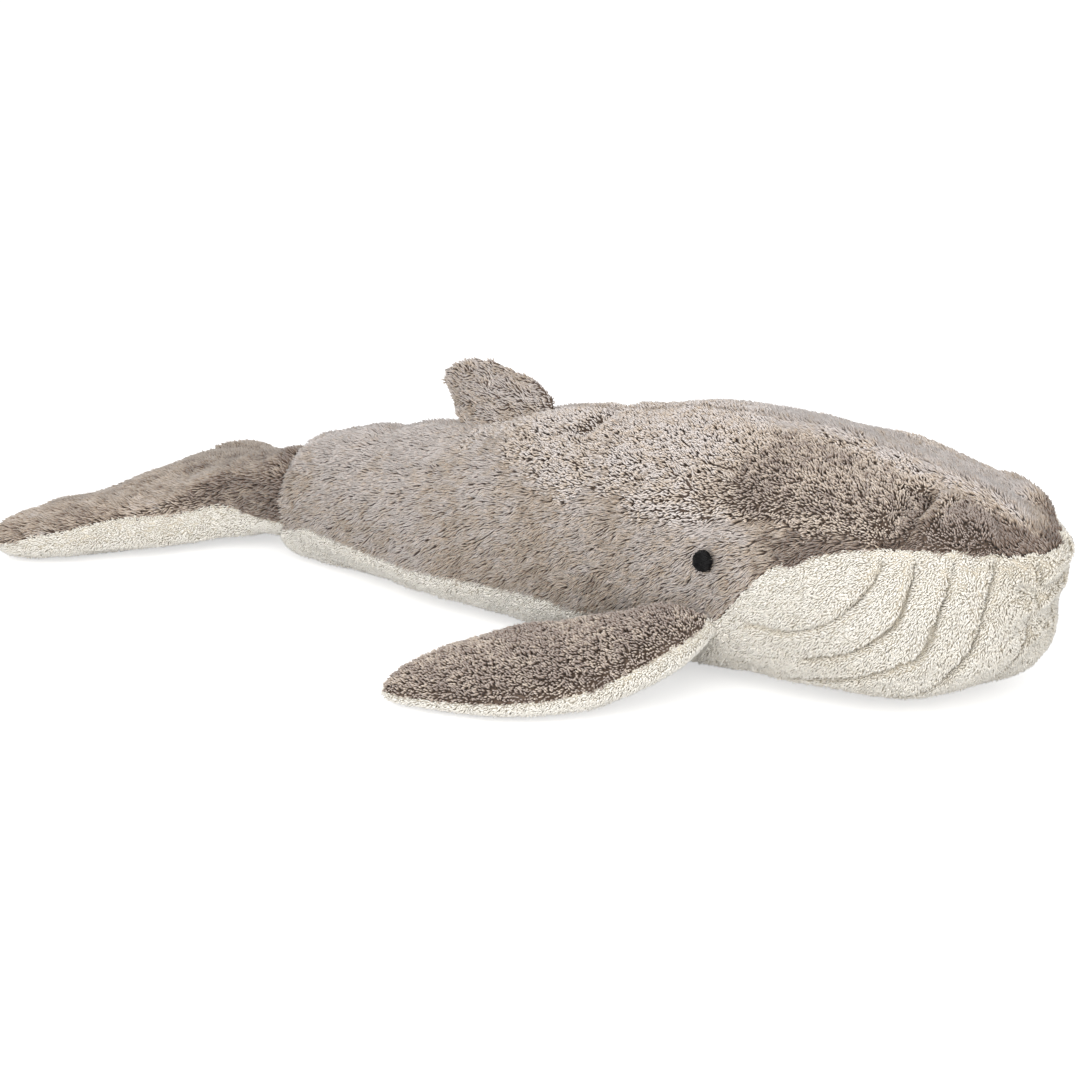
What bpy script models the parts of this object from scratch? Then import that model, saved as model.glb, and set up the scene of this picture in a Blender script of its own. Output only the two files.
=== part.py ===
"""Plush humpback whale lying on its belly, snout towards +X, ground at z = 0.

Each stuffed piece is a soft form whose cross-sections are given from end to end. The plush panels are
that form less its cavity, parted along the seams, and the filling lies in the cavity.
"""
import math

import bmesh
import bpy
from mathutils import Matrix, Vector
from mathutils.bvhtree import BVHTree

for old in list(bpy.data.objects):
    bpy.data.objects.remove(old, do_unlink=True)

# Driving dimensions, metres. The frame's origin is under the middle of the overall length.
overall_length = 0.587
plush_thickness = 0.0045
seam_gap = 0.0003
filling_gap = 0.0005
floor_cut = 0.0005
least_filling = 0.0015
overrun = 0.02
weld_distance = 0.0001

# Body. Its length is what the flukes leave of the overall length.
body_height = 0.1275
body_half_width = 0.083

# Throat pleats, sewn channels in the cream panel
pleat_radius = 0.0026

# Eyes
eye_radius = 0.0052
eye_half_thickness = 0.0016
eye_set_back = 0.155
eye_height = 0.074

# Flippers, one each side, sewn in at the side seam
flipper_reach_back = 0.106
flipper_reach_out = 0.1020
flipper_half_thickness = 0.0160
flipper_root_radius = 0.0042
flipper_root_half_length = 0.020
flipper_root_set_back = 0.180
flipper_root_height = 0.029
flipper_root_stand_off = 0.0035
flipper_droop = math.radians(13.5)
flipper_toe = math.radians(4)

# Flukes, sewn across the end of the tail
fluke_reach = 0.1130
fluke_half_span = 0.1080
fluke_half_thickness = 0.0205
fluke_root_radius = 0.0180
fluke_root_height = 0.0270
fluke_notch = 0.013

# Dorsal fin, sewn in the centre-back seam
fin_half_length = 0.0365
fin_height = 0.0290
fin_half_thickness = 0.0072
fin_plush_thickness = 0.0038
fin_root_radius = 0.0058
fin_root_stand_off = 0.0030
fin_set_back = 0.324
fin_slope = math.radians(18)

body_length = overall_length - fluke_reach
snout_x = overall_length / 2
tail_x = snout_x - body_length
side_reach = body_half_width + overrun
half_ring_steps = 6
limb_ring_steps = 8

# Colours: taupe-grey and cream cotton plush, off-white stuffing, black thread
taupe = (0.330, 0.276, 0.240)
cream = (0.730, 0.700, 0.610)
stuffing = (0.800, 0.780, 0.740)
thread_black = (0.012, 0.011, 0.011)
plush_roughness = 0.95
thread_roughness = 0.6

part_collection = bpy.data.collections.new("plush_whale")
cutter_collection = bpy.data.collections.new("cutters")
bpy.context.scene.collection.children.link(part_collection)
bpy.context.scene.collection.children.link(cutter_collection)


def link_part(name, mesh, colour, roughness=plush_roughness, parent=None):
    part = bpy.data.objects.new(name, mesh)
    part_collection.objects.link(part)
    part.parent = parent
    material = bpy.data.materials.new(name)
    material.use_nodes = True
    shader = material.node_tree.nodes["Principled BSDF"]
    shader.inputs["Base Color"].default_value = (*colour, 1)
    shader.inputs["Roughness"].default_value = roughness
    shader.inputs["Metallic"].default_value = 0
    mesh.materials.clear()
    mesh.materials.append(material)
    mesh.shade_smooth()
    return part


def link_cutter(name, mesh, parent=None):
    cutter = bpy.data.objects.new(name, mesh)
    cutter_collection.objects.link(cutter)
    cutter.parent = parent
    cutter.hide_render = True
    cutter.display_type = "WIRE"
    return cutter


def boolean(part, operation, cutter):
    step = part.modifiers.new(operation.lower(), "BOOLEAN")
    step.operation = operation
    step.solver = "EXACT"
    step.object = cutter


def mesh_from(name, bm):
    bmesh.ops.recalc_face_normals(bm, faces=bm.faces)
    mesh = bpy.data.meshes.new(name)
    bm.to_mesh(mesh)
    bm.free()
    return mesh


def finished_mesh(source):
    """An object's mesh with its modifiers, in the world's axes."""
    bpy.context.view_layer.update()
    graph = bpy.context.evaluated_depsgraph_get()
    mesh = bpy.data.meshes.new_from_object(source.evaluated_get(graph))
    mesh.transform(source.matrix_world)
    return mesh


def drawn_out(rings, closed):
    """A cage's rings moved out by what subdividing draws them in, so that the form keeps its sizes."""
    moved = []
    for i, ring in enumerate(rings):
        before = rings[max(i - 1, 0)]
        after = rings[min(i + 1, len(rings) - 1)]
        inner = before is not ring and after is not ring
        row = []
        for j, point in enumerate(ring):
            if closed:
                beside = ring[j - 1] + ring[(j + 1) % len(ring)]
            elif j in (0, len(ring) - 1):
                next_point = ring[1] if j == 0 else ring[-2]
                beside = 2 * Vector((next_point.x, 0, next_point.z))
            else:
                beside = ring[j - 1] + ring[j + 1]
            around = beside / 2 - point
            along = (before[j] + after[j]) / 2 - point if inner else Vector((0, 0, 0))
            row.append(point - (around + along) / 3)
        moved.append(row)
    return moved


def cage(name, rings, closed):
    """Faces from ring to ring with a flat cap at each end. Open rings are one half of a form that is
    the same on both sides of its centre plane."""
    bm = bmesh.new()
    rows = [[bm.verts.new(point) for point in ring] for ring in rings]
    for first, second in zip(rows, rows[1:]):
        for j in range(len(first) if closed else len(first) - 1):
            k = (j + 1) % len(first)
            bm.faces.new((first[j], first[k], second[k], second[j]))
    bm.faces.new(rows[0])
    bm.faces.new(rows[-1])
    return mesh_from(name, bm)


def complete(piece, closed, soft):
    """Completes a half cage on the other side, and subdivides a soft one into a smooth stuffed form."""
    if not closed:
        mirror = piece.modifiers.new("mirror", "MIRROR")
        mirror.use_axis = (False, True, False)
        mirror.use_clip = True
        mirror.merge_threshold = weld_distance
    if soft:
        smooth = piece.modifiers.new("smooth", "SUBSURF")
        smooth.levels = 1
        smooth.render_levels = 1


def soft_cutter(name, rings, closed, parent=None):
    cutter = link_cutter(name, cage(name, drawn_out(rings, closed), closed), parent)
    complete(cutter, closed, soft=True)
    return cutter


def plain_cage(name, rings, closed):
    """A cage of flat three-sided faces, divided alike in a filling and in the hollow round it."""
    mesh = cage(name, rings, closed)
    bm = bmesh.new()
    bm.from_mesh(mesh)
    bmesh.ops.triangulate(bm, faces=bm.faces, quad_method="FIXED", ngon_method="EAR_CLIP")
    bm.to_mesh(mesh)
    bm.free()
    return mesh


def cavity_cutter(name, rings, closed, parent=None):
    """The hollow that a filling lies in, as plain as the filling's own cage."""
    cutter = link_cutter(name, plain_cage(name, rings, closed), parent)
    complete(cutter, closed, soft=False)
    return cutter


def filling_part(name, rings, closed, cutters=(), parent=None):
    part = link_part(name, plain_cage(name, rings, closed), stuffing, parent=parent)
    complete(part, closed, soft=False)
    for cutter in cutters:
        boolean(part, "DIFFERENCE", cutter)
    return part


def soft_part(name, rings, closed, colour, cutters, parent=None):
    """A stuffed form, with what is kept of it or cut from it given as (operation, cutter) pairs."""
    part = link_part(name, cage(name, drawn_out(rings, closed), closed), colour, parent=parent)
    complete(part, closed, soft=True)
    for operation, cutter in cutters:
        boolean(part, operation, cutter)
    return part


def mirrored_part(name, source, colour, parent=None, roughness=plush_roughness):
    """The other side's twin of a finished piece."""
    mesh = finished_mesh(source)
    mesh.transform(Matrix.Diagonal((1, -1, 1, 1)))
    mesh.flip_normals()
    if parent:
        mesh.transform(parent.matrix_world.inverted())
    mesh.name = name
    return link_part(name, mesh, colour, roughness, parent)


def side_view_block(name, outline, y0, y1, parent=None):
    """A block whose side view is the outline, from y0 to y1."""
    bm = bmesh.new()
    face = bm.faces.new([bm.verts.new((x, y0, z)) for x, z in outline])
    side = bmesh.ops.extrude_face_region(bm, geom=[face])["geom"]
    far_side = [v for v in side if isinstance(v, bmesh.types.BMVert)]
    bmesh.ops.translate(bm, verts=far_side, vec=(0, y1 - y0, 0))
    return link_cutter(name, mesh_from(name, bm), parent)


def rod(name, radius, length, parent, turn):
    """A cylinder about its parent's x axis, turned from there."""
    bm = bmesh.new()
    bmesh.ops.create_cone(
        bm, cap_ends=True, segments=24, radius1=radius, radius2=radius, depth=length
    )
    mesh = mesh_from(name, bm)
    mesh.transform(turn @ Matrix.Rotation(math.pi / 2, 4, "Y"))
    return link_cutter(name, mesh, parent)


def smooth_line(points, steps):
    """A line through the inner points, curved after Catmull and Rom."""
    line = []
    for p0, p1, p2, p3 in zip(points, points[1:], points[2:], points[3:]):
        for step in range(steps):
            t = step / steps
            bend = (2 * p0 - 5 * p1 + 4 * p2 - p3) * t**2 + (3 * p1 - p0 - 3 * p2 + p3) * t**3
            line.append(p1 + (p2 - p0) * t / 2 + bend / 2)
    line.append(points[-2])
    return line


# The body's sections, from the tail's end to the snout, as shares of its length, half width and
# height. The last two shares say how round a section is above and below its widest level: 1 is an
# ellipse, and less is squarer.
body_section_shares = (
    # along, width, top, bottom, widest, round above, round below
    (0.000, 0.130, 0.350, 0.110, 0.200, 1.00, 1.00),
    (0.014, 0.330, 0.455, 0.030, 0.190, 0.95, 0.80),
    (0.045, 0.425, 0.515, 0.000, 0.190, 0.95, 0.62),
    (0.116, 0.540, 0.600, 0.000, 0.215, 0.95, 0.56),
    (0.240, 0.685, 0.710, 0.000, 0.250, 0.95, 0.54),
    (0.370, 0.815, 0.845, 0.000, 0.300, 0.95, 0.54),
    (0.495, 0.910, 0.925, 0.000, 0.340, 0.92, 0.56),
    (0.620, 0.980, 1.000, 0.000, 0.390, 0.88, 0.66),
    (0.745, 1.000, 0.993, 0.000, 0.440, 0.84, 0.70),
    (0.832, 0.975, 0.920, 0.000, 0.480, 0.82, 0.68),
    (0.895, 0.885, 0.862, 0.030, 0.530, 0.80, 0.74),
    (0.945, 0.665, 0.785, 0.100, 0.570, 0.84, 0.85),
    (0.979, 0.400, 0.720, 0.240, 0.590, 0.92, 0.95),
    (1.000, 0.170, 0.670, 0.440, 0.590, 1.00, 1.00),
)


def half_section(x, width, top, bottom, widest, above, below):
    """Half a section as points from the top, round the side, to the bottom."""
    ring = []
    for j in range(half_ring_steps + 1):
        turn = math.pi * (1 / 2 - j / half_ring_steps)
        rise = math.sin(turn)
        roundness = above if rise > 0 else below
        reach = top - widest if rise > 0 else widest - bottom
        across = 0 if j in (0, half_ring_steps) else math.cos(turn) ** roundness
        height = math.copysign(abs(rise) ** roundness, rise)
        ring.append(Vector((x, width * across, widest + reach * height)))
    return ring


def body_rings(inset, sink=0):
    """The body's half sections, drawn in on every side by the inset, or sunk into the ground."""
    rings = []
    for along, width, top, bottom, widest, above, below in body_section_shares:
        level = widest * body_height
        rings.append(
            half_section(
                tail_x + inset + (body_length - 2 * inset) * along,
                max(width * body_half_width - inset, inset),
                max(top * body_height - inset, level + inset),
                min(bottom * body_height + inset, level - inset) - sink,
                level,
                above,
                below,
            )
        )
    return rings


body_form = soft_cutter("body_form", body_rings(0, floor_cut), closed=False)
body_cavity = cavity_cutter("body_cavity", body_rings(plush_thickness), closed=False)

# The seam between the grey back and the cream belly, seen from the side: low along the flank, rising
# behind the jaw and out along the lip. Shares of the body's length and height.
side_seam_shares = (
    (-0.20, 0.215),
    (-0.06, 0.215),
    (0.00, 0.212),
    (0.066, 0.202),
    (0.140, 0.176),
    (0.22, 0.166),
    (0.32, 0.176),
    (0.40, 0.200),
    (0.486, 0.230),
    (0.570, 0.245),
    (0.640, 0.262),
    (0.688, 0.300),
    (0.712, 0.390),
    (0.745, 0.550),
    (0.790, 0.700),
    (0.845, 0.758),
    (0.900, 0.762),
    (0.960, 0.728),
    (1.000, 0.680),
    (1.060, 0.640),
    (1.120, 0.610),
)


def side_seam(offset):
    points = [
        Vector((tail_x + body_length * along, body_height * up + offset))
        for along, up in side_seam_shares
    ]
    return smooth_line(points, 2)


seam_end_x = side_seam(0)[-1].x
seam_start_x = side_seam(0)[0].x
back_outline = side_seam(seam_gap / 2) + [
    Vector((seam_end_x, body_height + overrun)),
    Vector((seam_start_x, body_height + overrun)),
]
belly_outline = side_seam(-seam_gap / 2) + [
    Vector((seam_end_x, 0)),
    Vector((seam_start_x, 0)),
]
back_region = side_view_block("back_region", back_outline, -side_reach, -seam_gap / 2)
belly_region = side_view_block("belly_region", belly_outline, -side_reach, side_reach)
ground = side_view_block(
    "ground",
    [
        Vector((-snout_x - overrun, 0)),
        Vector((snout_x + overrun, 0)),
        Vector((snout_x + overrun, -overrun)),
        Vector((-snout_x - overrun, -overrun)),
    ],
    -snout_x,
    snout_x,
)


def surface_tree(mesh):
    bm = bmesh.new()
    bm.from_mesh(mesh)
    tree = BVHTree.FromBMesh(bm)
    bm.free()
    return tree


body_surface = surface_tree(finished_mesh(body_form))


def side_place(x, height):
    """The point of the body's right side at a place, and the way that it faces."""
    start = Vector((x, -side_reach, height))
    return body_surface.ray_cast(start, Vector((0, 1, 0)))[:2]


def back_height(x):
    start = Vector((x, 0, body_height + overrun))
    return body_surface.ray_cast(start, Vector((0, 0, -1)))[0].z


def hinge(name, place, turns):
    """An empty on a joint's axis, which the moving pieces are parented to."""
    empty = bpy.data.objects.new(name, None)
    empty.location = place
    empty.rotation_euler = turns
    part_collection.objects.link(empty)
    return empty


sides = {"right": -1, "left": 1}
flipper_root_x = snout_x - flipper_root_set_back
flipper_wall = side_place(flipper_root_x, flipper_root_height)[0]
flipper_hinges = {
    name: hinge(
        f"{name}_flipper_hinge",
        (flipper_root_x, side * (flipper_root_stand_off - flipper_wall.y), flipper_root_height),
        (-side * flipper_droop, 0, side * flipper_toe),
    )
    for name, side in sides.items()
}
fluke_hinge = hinge("fluke_hinge", (tail_x, 0, fluke_root_height), (0, 0, 0))
fin_x = snout_x - fin_set_back
fin_hinge = hinge(
    "fin_hinge",
    (
        fin_x - fin_root_stand_off * math.sin(fin_slope),
        0,
        back_height(fin_x) + fin_root_stand_off * math.cos(fin_slope),
    ),
    (0, -fin_slope, 0),
)

# The round sockets in the body that the limbs' roots sit in
straight = Matrix.Identity(4)
flipper_sockets = {
    name: rod(
        f"{name}_flipper_socket",
        flipper_root_radius + seam_gap,
        2 * (flipper_root_half_length + flipper_root_radius),
        flipper_hinges[name],
        straight,
    )
    for name in sides
}
fluke_socket = rod(
    "fluke_socket",
    fluke_root_radius + seam_gap,
    2 * side_reach,
    fluke_hinge,
    Matrix.Rotation(math.pi / 2, 4, "Z"),
)
fin_socket = rod(
    "fin_socket",
    fin_root_radius + seam_gap,
    2 * (fin_half_length + fin_root_radius),
    fin_hinge,
    straight,
)

# The pleats run from the lip down and back under the throat, the same on both sides. Each is a line of
# shares: back from the snout, out from the centre plane, and up.
pleat_shares = (
    (
        (0.129, 0.860, 0.745),
        (0.144, 0.901, 0.595),
        (0.168, 0.947, 0.477),
        (0.193, 0.964, 0.406),
        (0.233, 0.966, 0.355),
        (0.281, 0.985, 0.347),
    ),
    (
        (0.100, 0.740, 0.750),
        (0.102, 0.852, 0.616),
        (0.114, 0.864, 0.462),
        (0.134, 0.924, 0.373),
        (0.166, 0.939, 0.295),
        (0.220, 0.935, 0.231),
        (0.281, 0.935, 0.205),
    ),
    (
        (0.068, 0.620, 0.745),
        (0.073, 0.754, 0.509),
        (0.091, 0.771, 0.311),
        (0.128, 0.848, 0.200),
        (0.186, 0.850, 0.130),
        (0.250, 0.820, 0.075),
    ),
    (
        (0.041, 0.450, 0.725),
        (0.035, 0.522, 0.592),
        (0.040, 0.548, 0.484),
        (0.051, 0.561, 0.325),
        (0.071, 0.602, 0.204),
        (0.113, 0.602, 0.080),
        (0.218, 0.560, 0.020),
    ),
    (
        (0.018, 0.220, 0.700),
        (0.009, 0.189, 0.525),
        (0.014, 0.193, 0.353),
        (0.045, 0.217, 0.125),
        (0.113, 0.240, 0.020),
        (0.218, 0.240, 0.000),
    ),
)


def pleat_cutter(name, shares, side):
    """A cord laid along the body's form, which leaves a channel where it is cut away."""
    guide = [
        Vector((snout_x - body_length * back, side * body_half_width * out, body_height * up))
        for back, out, up in shares
    ]
    line = smooth_line([guide[0], *guide, guide[-1]], 2)
    curve = bpy.data.curves.new(name, "CURVE")
    curve.dimensions = "3D"
    curve.bevel_depth = pleat_radius
    curve.bevel_resolution = 1
    curve.use_fill_caps = True
    spline = curve.splines.new("POLY")
    spline.points.add(len(line) - 1)
    for target, point in zip(spline.points, line):
        target.co = (*body_surface.find_nearest(point)[0], 1)
    cord = bpy.data.objects.new(name, curve)
    cutter_collection.objects.link(cord)
    bm = bmesh.new()
    bm.from_mesh(finished_mesh(cord))
    bmesh.ops.remove_doubles(bm, verts=bm.verts, dist=weld_distance)
    bpy.data.objects.remove(cord, do_unlink=True)
    return link_cutter(name, mesh_from(name, bm))


pleats = [
    pleat_cutter(f"pleat_{name}_{i + 1}", shares, side)
    for name, side in sides.items()
    for i, shares in enumerate(pleat_shares)
]

# Body
back_panel_right = soft_part(
    "back_panel_right",
    body_rings(0, floor_cut),
    False,
    taupe,
    [
        ("DIFFERENCE", body_cavity),
        ("DIFFERENCE", flipper_sockets["right"]),
        ("DIFFERENCE", fluke_socket),
        ("DIFFERENCE", fin_socket),
        ("INTERSECT", back_region),
    ],
)
mirrored_part("back_panel_left", back_panel_right, taupe)

soft_part(
    "belly_panel",
    body_rings(0, floor_cut),
    False,
    cream,
    [
        ("DIFFERENCE", cutter)
        for cutter in (body_cavity, fluke_socket, *pleats, *flipper_sockets.values())
    ]
    + [("INTERSECT", belly_region)],
)

filling_part(
    "body_filling", body_rings(plush_thickness + filling_gap), False, cutters=[fluke_socket]
)

# Eyes: embroidered discs whose backs follow the panel that they are sewn on
eye_ground = soft_cutter("eye_ground", body_rings(-seam_gap), closed=False)
eye_place, eye_facing = side_place(snout_x - eye_set_back, eye_height)
bm = bmesh.new()
bmesh.ops.create_uvsphere(bm, u_segments=16, v_segments=8, radius=1)
eye_mesh = mesh_from("eye_right", bm)
eye_mesh.transform(Matrix.Diagonal((eye_radius, eye_radius, eye_half_thickness, 1)))
eye_right = link_part("eye_right", eye_mesh, thread_black, thread_roughness)
eye_right.location = eye_place
eye_right.rotation_euler = eye_facing.to_track_quat("Z", "Y").to_euler()
boolean(eye_right, "DIFFERENCE", eye_ground)
mirrored_part("eye_left", eye_right, thread_black, roughness=thread_roughness)


limb_roundness_share = 0.85


def limb_rings(rows, out, thick, inset=0, clearance=0):
    """Closed sections of a limb. A row is its front and rear edge, each as (along, out), its half
    thickness, and how much fuller it is below. An inset leaves out the rows that are too thin to hold
    filling under it."""
    rings = []
    for front, rear, half_thickness, fullness in rows:
        if inset and half_thickness < inset + least_filling:
            continue
        front_place = Vector((front[0], 0, 0)) + out * front[1]
        rear_place = Vector((rear[0], 0, 0)) + out * rear[1]
        chord = (front_place - rear_place) / 2
        chord -= chord.normalized() * 2 * (inset + clearance)
        middle = (front_place + rear_place) / 2
        ring = []
        for j in range(limb_ring_steps):
            turn = 2 * math.pi * j / limb_ring_steps
            rise = math.copysign(abs(math.sin(turn)) ** limb_roundness_share, math.sin(turn))
            reach = half_thickness * (fullness if rise < 0 else 1) - inset - clearance
            ring.append(middle + chord * math.cos(turn) + thick * reach * rise)
        rings.append(ring)
    return rings


# A limb's root is a round nose about its hinge: how far round each row is, and its length
nose_turns = (math.radians(72), math.radians(38))
nose_length_shares = (0.92, 0.98)


def nose_rows(radius, half_length):
    return [
        (
            (half_length * length, -radius * math.sin(turn)),
            (-half_length * length, -radius * math.sin(turn)),
            radius * math.cos(turn),
            1,
        )
        for turn, length in zip(nose_turns, nose_length_shares)
    ]


# Flippers, as shares of their reach back and out: the front edge, the rear edge, the thickness, and
# how much fuller they are on the under side
flipper_row_shares = (
    ((0.204, 0.128), (-0.262, 0.080), 0.52, 1.10),
    ((0.150, 0.353), (-0.408, 0.105), 0.86, 1.30),
    ((0.030, 0.590), (-0.583, 0.150), 1.00, 1.40),
    ((-0.180, 0.780), (-0.728, 0.278), 0.95, 1.35),
    ((-0.455, 0.909), (-0.874, 0.481), 0.78, 1.25),
    ((-0.770, 0.990), (-0.975, 0.727), 0.54, 1.10),
    ((-0.935, 0.985), (-0.990, 0.900), 0.22, 1.00),
)
flipper_rows = nose_rows(flipper_root_radius, flipper_root_half_length)
flipper_rows.append(
    ((flipper_root_half_length, 0), (-flipper_root_half_length, 0), flipper_root_radius, 1)
)
flipper_rows += [
    (
        (front[0] * flipper_reach_back, front[1] * flipper_reach_out),
        (rear[0] * flipper_reach_back, rear[1] * flipper_reach_out),
        thickness * flipper_half_thickness,
        fullness,
    )
    for front, rear, thickness, fullness in flipper_row_shares
]


def half_space(name, reach, start, stop, parent, upright=False):
    """A block from start to stop across its parent's z axis, or its y axis if upright."""
    if upright:
        corners = [(-reach, -reach), (reach, -reach), (reach, reach), (-reach, reach)]
        return side_view_block(name, [Vector(c) for c in corners], start, stop, parent)
    corners = [(-reach, start), (reach, start), (reach, stop), (-reach, stop)]
    return side_view_block(name, [Vector(c) for c in corners], -reach, reach, parent)


right_hinge = flipper_hinges["right"]
right_out = Vector((0, -1, 0))
upward = Vector((0, 0, 1))
flipper_cavity = cavity_cutter(
    "flipper_cavity",
    limb_rings(flipper_rows, right_out, upward, plush_thickness),
    True,
    right_hinge,
)
flipper_reach = flipper_reach_back + overrun
flipper_parts = [
    soft_part(
        f"right_flipper_{panel}",
        limb_rings(flipper_rows, right_out, upward),
        True,
        colour,
        [
            ("DIFFERENCE", flipper_cavity),
            ("INTERSECT", half_space(f"flipper_{panel}_region", flipper_reach, *span, right_hinge)),
            ("DIFFERENCE", ground),
        ],
        right_hinge,
    )
    for panel, colour, span in (
        ("top_panel", taupe, (seam_gap / 2, flipper_reach)),
        ("under_panel", cream, (-flipper_reach, -seam_gap / 2)),
    )
]
flipper_parts.append(
    filling_part(
        "right_flipper_filling",
        limb_rings(flipper_rows, right_out, upward, plush_thickness, filling_gap),
        True,
        parent=right_hinge,
    )
)
for part, colour in zip(flipper_parts, (taupe, cream, stuffing)):
    mirrored_part(part.name.replace("right", "left"), part, colour, flipper_hinges["left"])

# Dorsal fin, as shares of its half length and height, leaning back
fin_row_shares = (
    ((1.000, 0.000), (-0.900, 0.000), 0.81),
    ((0.860, 0.280), (-0.930, 0.290), 1.00),
    ((0.610, 0.580), (-1.000, 0.600), 0.96),
    ((0.290, 0.820), (-0.980, 0.850), 0.76),
    ((-0.020, 0.950), (-0.800, 0.980), 0.40),
)
fin_root_length_share = 0.95
fin_rows = nose_rows(fin_root_radius, fin_half_length * fin_root_length_share)
fin_rows += [
    (
        (front[0] * fin_half_length, front[1] * fin_height),
        (rear[0] * fin_half_length, rear[1] * fin_height),
        thickness * fin_half_thickness,
        1,
    )
    for front, rear, thickness in fin_row_shares
]
fin_out = Vector((0, 0, 1))
fin_thick = Vector((0, 1, 0))
fin_cavity = cavity_cutter(
    "fin_cavity",
    limb_rings(fin_rows, fin_out, fin_thick, fin_plush_thickness),
    True,
    fin_hinge,
)
fin_reach = 2 * fin_half_length
for name, side in sides.items():
    start, stop = sorted((side * seam_gap / 2, side * fin_reach))
    region = half_space(f"fin_{name}_region", fin_reach, start, stop, fin_hinge, upright=True)
    soft_part(
        f"dorsal_fin_panel_{name}",
        limb_rings(fin_rows, fin_out, fin_thick),
        True,
        taupe,
        [("DIFFERENCE", fin_cavity), ("INTERSECT", region)],
        fin_hinge,
    )
filling_part(
    "dorsal_fin_filling",
    limb_rings(fin_rows, fin_out, fin_thick, fin_plush_thickness, filling_gap),
    True,
    parent=fin_hinge,
)

# Flukes, as half sections from the root to the trailing edge. Shares: back from the hinge as a share
# of the reach, half width of the half span, half thickness of the greatest, the height of the middle
# and of the rim as shares of the greatest half thickness, how round the section is above the rim, and
# how much of the notch it has. Below the rim the lying lobes bulge out squarer.
fluke_section_shares = (
    # back, width, thickness, middle, rim, round above, notch
    (0.000, 0.245, 0.878, 1.317, 1.317, 0.92, 0.0),
    (0.044, 0.245, 0.841, 1.317, 1.300, 0.92, 0.0),
    (0.085, 0.250, 0.820, 1.244, 1.270, 0.92, 0.0),
    (0.140, 0.285, 0.883, 1.122, 1.220, 0.95, 0.0),
    (0.225, 0.360, 1.000, 1.010, 1.190, 1.00, 0.0),
    (0.330, 0.515, 1.000, 0.976, 1.090, 1.15, 0.0),
    (0.460, 0.690, 1.000, 0.970, 0.960, 1.30, 0.0),
    (0.620, 0.845, 0.950, 0.926, 0.830, 1.40, 0.1),
    (0.770, 0.935, 0.860, 0.836, 0.700, 1.45, 0.4),
    (0.890, 0.990, 0.720, 0.700, 0.600, 1.35, 0.8),
    (0.965, 1.020, 0.540, 0.570, 0.560, 1.00, 1.0),
    (1.000, 0.930, 0.260, 0.520, 0.540, 0.75, 1.0),
)
fluke_root_width_share = 0.245
fluke_root_roundness_share = 0.92
fluke_under_roundness_share = 0.48
notch_width_share = 0.45


def fluke_section(x, width, thickness, middle, rim, above, below, notch):
    ring = []
    for j in range(half_ring_steps + 1):
        turn = math.pi * (1 / 2 - j / half_ring_steps)
        rise = math.sin(turn)
        roundness = above if rise > 0 else below
        across = 0 if j in (0, half_ring_steps) else math.cos(turn) ** roundness
        lift = thickness * math.copysign(abs(rise) ** roundness, rise)
        near_centre = max(0, 1 - across / notch_width_share)
        height = middle + (rim - middle) * across**2 + lift
        ring.append(Vector((x + notch * near_centre**2, width * across, height)))
    return ring


def fluke_rings(inset=0, clearance=0):
    """Half sections of the flukes about their hinge, drawn in by the inset and a clearance."""
    rings = []
    drawn_in = inset + clearance
    for turn, length in zip(nose_turns, nose_length_shares):
        half_thickness = fluke_root_radius * math.cos(turn)
        if half_thickness > inset + least_filling:
            width = fluke_root_width_share * fluke_half_span * length
            x = fluke_root_radius * math.sin(turn) - drawn_in
            rings.append(
                fluke_section(
                    x,
                    width - 2 * drawn_in,
                    half_thickness - drawn_in,
                    0,
                    0,
                    fluke_root_roundness_share,
                    fluke_root_roundness_share,
                    0,
                )
            )
    for back, width, thickness, middle, rim, above, notch in fluke_section_shares:
        half_thickness = thickness * fluke_half_thickness
        if half_thickness > inset + least_filling:
            rings.append(
                fluke_section(
                    (drawn_in + 2 * clearance - fluke_reach) * back,
                    width * fluke_half_span - 2 * drawn_in,
                    half_thickness - drawn_in,
                    middle * fluke_half_thickness - fluke_root_height,
                    rim * fluke_half_thickness - fluke_root_height,
                    above,
                    fluke_under_roundness_share if width > fluke_root_width_share else above,
                    notch * fluke_notch,
                )
            )
    return rings


fluke_seam_shares = (
    (-0.30, 1.160),
    (-0.16, 1.160),
    (0.00, 1.190),
    (0.162, 1.340),
    (0.307, 1.350),
    (0.476, 1.220),
    (0.635, 1.000),
    (0.770, 0.830),
    (0.890, 0.690),
    (1.050, 0.600),
    (1.200, 0.560),
)


def fluke_seam(offset):
    points = [
        Vector((-back * fluke_reach, up * fluke_half_thickness - fluke_root_height + offset))
        for back, up in fluke_seam_shares
    ]
    return smooth_line(points, 1)


fluke_cavity = cavity_cutter("fluke_cavity", fluke_rings(plush_thickness), False, fluke_hinge)
for panel, colour, rise in (("top_panel", taupe, 1), ("under_panel", cream, -1)):
    seam = fluke_seam(rise * seam_gap / 2)
    level = rise * (fluke_root_height + fluke_half_thickness)
    outline = seam + [Vector((seam[-1].x, level)), Vector((seam[0].x, level))]
    region = side_view_block(
        f"flukes_{panel}_region",
        outline,
        -fluke_half_span - overrun,
        fluke_half_span + overrun,
        fluke_hinge,
    )
    soft_part(
        f"flukes_{panel}",
        fluke_rings(),
        False,
        colour,
        [("DIFFERENCE", fluke_cavity), ("INTERSECT", region), ("DIFFERENCE", ground)],
        fluke_hinge,
    )
filling_part(
    "flukes_filling", fluke_rings(plush_thickness, filling_gap), False, parent=fluke_hinge
)
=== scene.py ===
"""Plush humpback whale on its belly, with its snout towards +X. Metres, ground at z = 0."""

import math

import bmesh
import bpy
import numpy as np
from mathutils import Matrix, Vector, noise
from mathutils.bvhtree import BVHTree


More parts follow.
